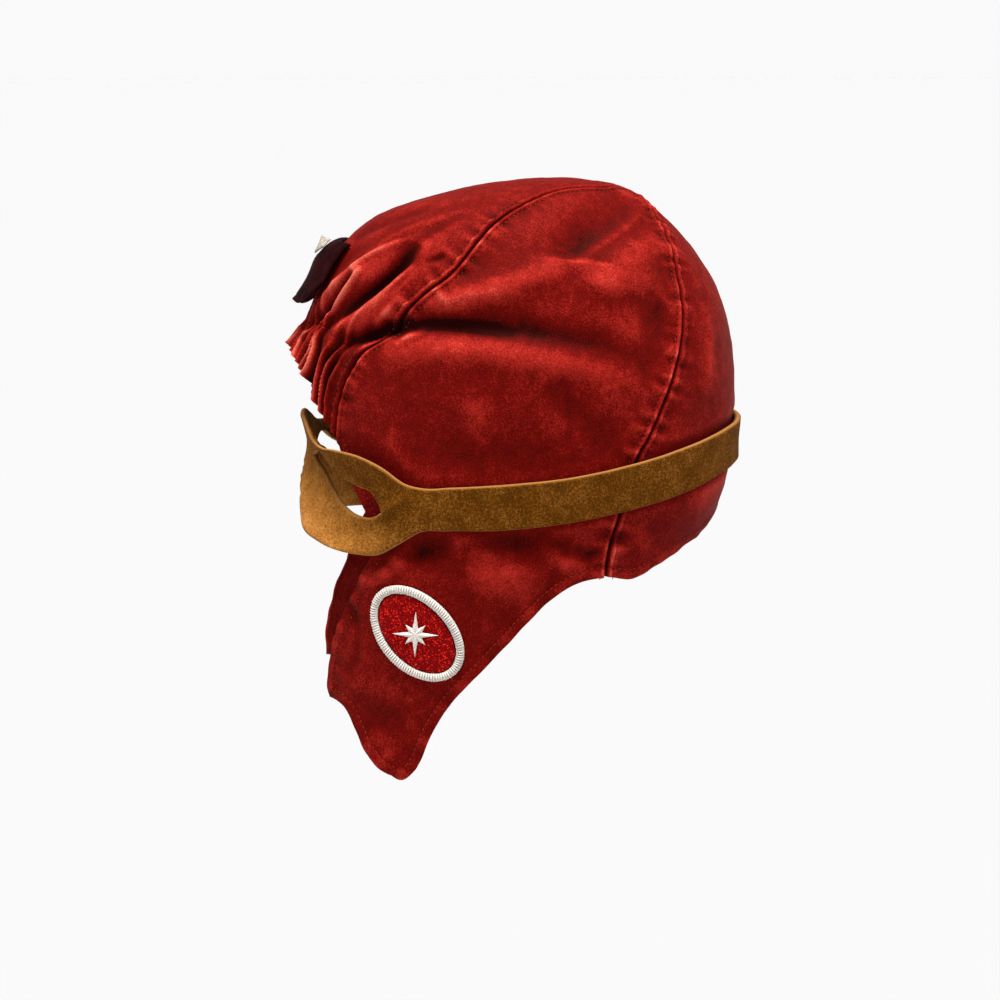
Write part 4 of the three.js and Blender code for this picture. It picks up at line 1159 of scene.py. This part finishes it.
# Waxed cotton thread, a darker red than the cloth round it, with a faint sheen.
cotton_twist = 0.4
cotton, tree, place = new_material("dark_red_cotton_thread")
twist = add(tree, "ShaderNodeTexNoise", {"Vector": place, "Scale": 1 / (cotton_twist * MM)})
colour = add(tree, "ShaderNodeValToRGB", {"Fac": twist}, stops=[(0.3, "#64100a"), (0.7, "#a03326")])
skin = add(tree, "ShaderNodeBsdfPrincipled", {
    "Base Color": colour, "Roughness": 0.8, "Specular IOR Level": 0.1,
})
add(tree, "ShaderNodeOutputMaterial", {"Surface": skin})
stitches = grow("topstitching", stitch_rows, path("stitch_path", lines), {
    "Pitch": stitch_pitch * MM, "Unevenness": 0.15, "Length": stitch_length * MM,
    "Width": stitch_width * MM, "Seed": 7, "Material": cotton,
})
fit(stitches, cotton, "suede_cloth")

# Tab above the brow: dark oxblood leather, sewn on along its top edge and curling away from the
# cap at its end.
tab_top = 0.385
tab_width = 40
tab_length = 38
tab_wall = 2.5
tab_lift = 7.5
tab_side_rise = 0.55
tab_lifts = table(
    "along lift", (0, 0), (0.1, 0.3), (0.3, 0.52), (0.65, 0.54), (0.85, 0.78), (1, 1),
)


def tab_point(along, across, extra):
    """Points of the tab's outside: along it from its sewn edge, across it from its middle."""
    start = spot_at(tab_top, -90)
    spot = spot_from(start, across, along * tab_length)
    middle = spot_from(start, 0 * across, along * tab_length)
    normal = head_normal(middle.ravel()).reshape(*spot.shape, 3)
    side = 1 + (tab_side_rise - 1) * (across / (tab_width / 2)) ** 2
    lift = column(tab_lifts, "along", "lift", along) * tab_lift * side
    point = cloth(spot)[0] + normal * (layer_gap + tab_wall + lift + extra)[..., None]
    return point, normal, np.zeros((3, *spot.shape))


along = np.linspace(0, 1, 61)[:, None]
share = np.linspace(-0.5, 0.5, 49)
rounded = np.sqrt(1 - np.maximum((along - 0.8) / 0.2, 0) ** 2 * 0.75)
across = share * tab_width * rounded
edge_gap = np.minimum((0.5 - np.abs(share)) * tab_width, (1 - along) * tab_length)
crimp = 0.25 * bell(edge_gap, 1.4) - 0.4 * bell(edge_gap - 3, 0.5)
tab = shell("brow_tab", [tab_point(along + 0 * share, across, crimp)], tab_wall, bulge=0.2)

# Oxblood leather: nearly black red, with a fine pebbled grain and a dull polish.
pebble = 0.9
stain_size = 6
leather, tree, place = new_material("oxblood_leather")
cells = add(tree, "ShaderNodeTexVoronoi", {"Vector": place, "Scale": 1 / (pebble * MM)})
stain = add(tree, "ShaderNodeTexNoise", {
    "Vector": place, "Scale": 1 / (stain_size * MM), "Detail": 3.0,
})
colour = add(tree, "ShaderNodeValToRGB", {"Fac": stain}, stops=[(0.3, "#100102"), (0.7, "#290507")])
bump = add(tree, "ShaderNodeBump", {"Height": cells, "Strength": 0.35, "Distance": 0.2 * MM})
skin = add(tree, "ShaderNodeBsdfPrincipled", {
    "Base Color": colour, "Roughness": 0.8, "Specular IOR Level": 0.04, "Normal": bump,
})
add(tree, "ShaderNodeOutputMaterial", {"Surface": skin})
fit(tab, leather, "tab", "brow_tab")

# Badge: a small pale lozenge of padded felt, glued on the tab with one corner standing over the
# tab's upper end. Its face is matt, with soft tufts.
badge_width = 11
badge_length = 10
badge_wall = 1.2
badge_middle = 0.2
badge_rise = 3.6
badge_lean = 1.1
badge_tuft = 1.2
p, q = np.meshgrid(np.linspace(0, 1, 21), np.linspace(0, 1, 21), indexing="ij")
centre = np.full((1, 1), badge_middle)
start = tab_point(centre - 0.05, 0 * centre, 0)[0]
tab_way = unit(tab_point(centre + 0.05, 0 * centre, 0)[0] - start)[0, 0]
cushion = badge_rise * (1 - np.maximum(np.abs(2 * p - 1), np.abs(2 * q - 1))) ** 1.3
point, normal, lifted = tab_point(
    np.full(p.shape, badge_middle), (p - q) * badge_width / 2,
    layer_gap + badge_wall + cushion,
)
point = point + tab_way * ((p + q - 1) * badge_length / 2 - badge_lean * cushion)[..., None]
badge = shell("tab_badge", [(point, normal, lifted)], badge_wall, bulge=0.1)
pale, tree, place = new_material("pale_felt")
tuft = add(tree, "ShaderNodeTexNoise", {
    "Vector": place, "Scale": 1 / (badge_tuft * MM), "Detail": 3.0,
})
colour = add(tree, "ShaderNodeValToRGB", {"Fac": tuft}, stops=[(0.3, "#857c70"), (0.7, "#b8ae9e")])
bump = add(tree, "ShaderNodeBump", {"Height": tuft, "Strength": 0.6, "Distance": 0.4 * MM})
skin = add(tree, "ShaderNodeBsdfPrincipled", {
    "Base Color": colour, "Roughness": 0.95, "Specular IOR Level": 0.15, "Normal": bump,
})
add(tree, "ShaderNodeOutputMaterial", {"Surface": skin})
fit(badge, pale, "badge", "tab_badge")

# Floor, light and camera: a plain pale floor well below the flaps in a pale room with a dimmer
# ceiling, a soft main light from high above the left side, a weak one from low in front, a faint
# one from behind, and the photograph's view of the left side.
floor_drop = 350
floor_size = 40
low, high = cad_box
corners = [(x * floor_size, y * floor_size, low[2] - floor_drop * MM)
           for x, y in ((-1, -1), (1, -1), (1, 1), (-1, 1))]
mesh = bpy.data.meshes.new("floor")
mesh.from_pydata(corners, [], [(0, 1, 2, 3)])
floor = bpy.data.objects.new("floor", mesh)
bpy.context.scene.collection.objects.link(floor)
paper, tree, _ = new_material("matt_white_paper")
skin = add(tree, "ShaderNodeBsdfPrincipled", {"Base Color": linear("#aaaaaa"), "Roughness": 0.95})
add(tree, "ShaderNodeOutputMaterial", {"Surface": skin})
floor.data.materials.append(paper)

wall_light, ceiling_light = 0.95, 0.2
world = bpy.data.worlds.new("pale_room")
bpy.context.scene.world = world
world.use_nodes = True
tree = world.node_tree
tree.nodes.clear()
around = add(tree, "ShaderNodeTexCoord").outputs["Generated"]
up = add(tree, "ShaderNodeSeparateXYZ", {"Vector": around})
glow = add(tree, "ShaderNodeMapRange", {
    "Value": up.outputs["Z"], "From Min": 0.1, "From Max": 0.35, "To Min": wall_light,
    "To Max": ceiling_light,
}, interpolation_type="SMOOTHSTEP")
sky = add(tree, "ShaderNodeBackground", {"Color": linear("#ffffff"), "Strength": glow})
add(tree, "ShaderNodeOutputWorld", {"Surface": sky})
bpy.context.scene.view_settings.view_transform = "Standard"


def aim(thing, place, target):
    """Puts a light or the camera at a place, looking at a target, both in millimetres."""
    thing.location = Vector(place) * MM
    thing.rotation_euler = (Vector(target) - Vector(place)).to_track_quat("-Z", "Y").to_euler()
    bpy.context.scene.collection.objects.link(thing)


middle = (0, -7.4, -155)
for name, place, spread, power in (
    ("key_light", (300, -40, 1300), 34, 6.6),
    ("face_light", (700, -1400, -250), 30, 0.8),
    ("back_light", (700, 1200, 500), 40, 0.3),
):
    light = bpy.data.lights.new(name, "SUN")
    light.angle = np.radians(spread)
    light.energy = power
    aim(bpy.data.objects.new(name, light), place, middle)

view_turn, view_rise, view_reach = 86, 10, 1300
view_lens = 95.5
turn, rise = np.radians(view_turn), np.radians(view_rise)
back = np.array([np.sin(turn) * np.cos(rise), -np.cos(turn) * np.cos(rise), np.sin(rise)])
camera = bpy.data.cameras.new("camera")
camera.lens = view_lens
camera.clip_start = 0.05
camera.clip_end = 60
camera_object = bpy.data.objects.new("camera", camera)
aim(camera_object, np.array(middle) + back * view_reach, middle)
bpy.context.scene.camera = camera_object
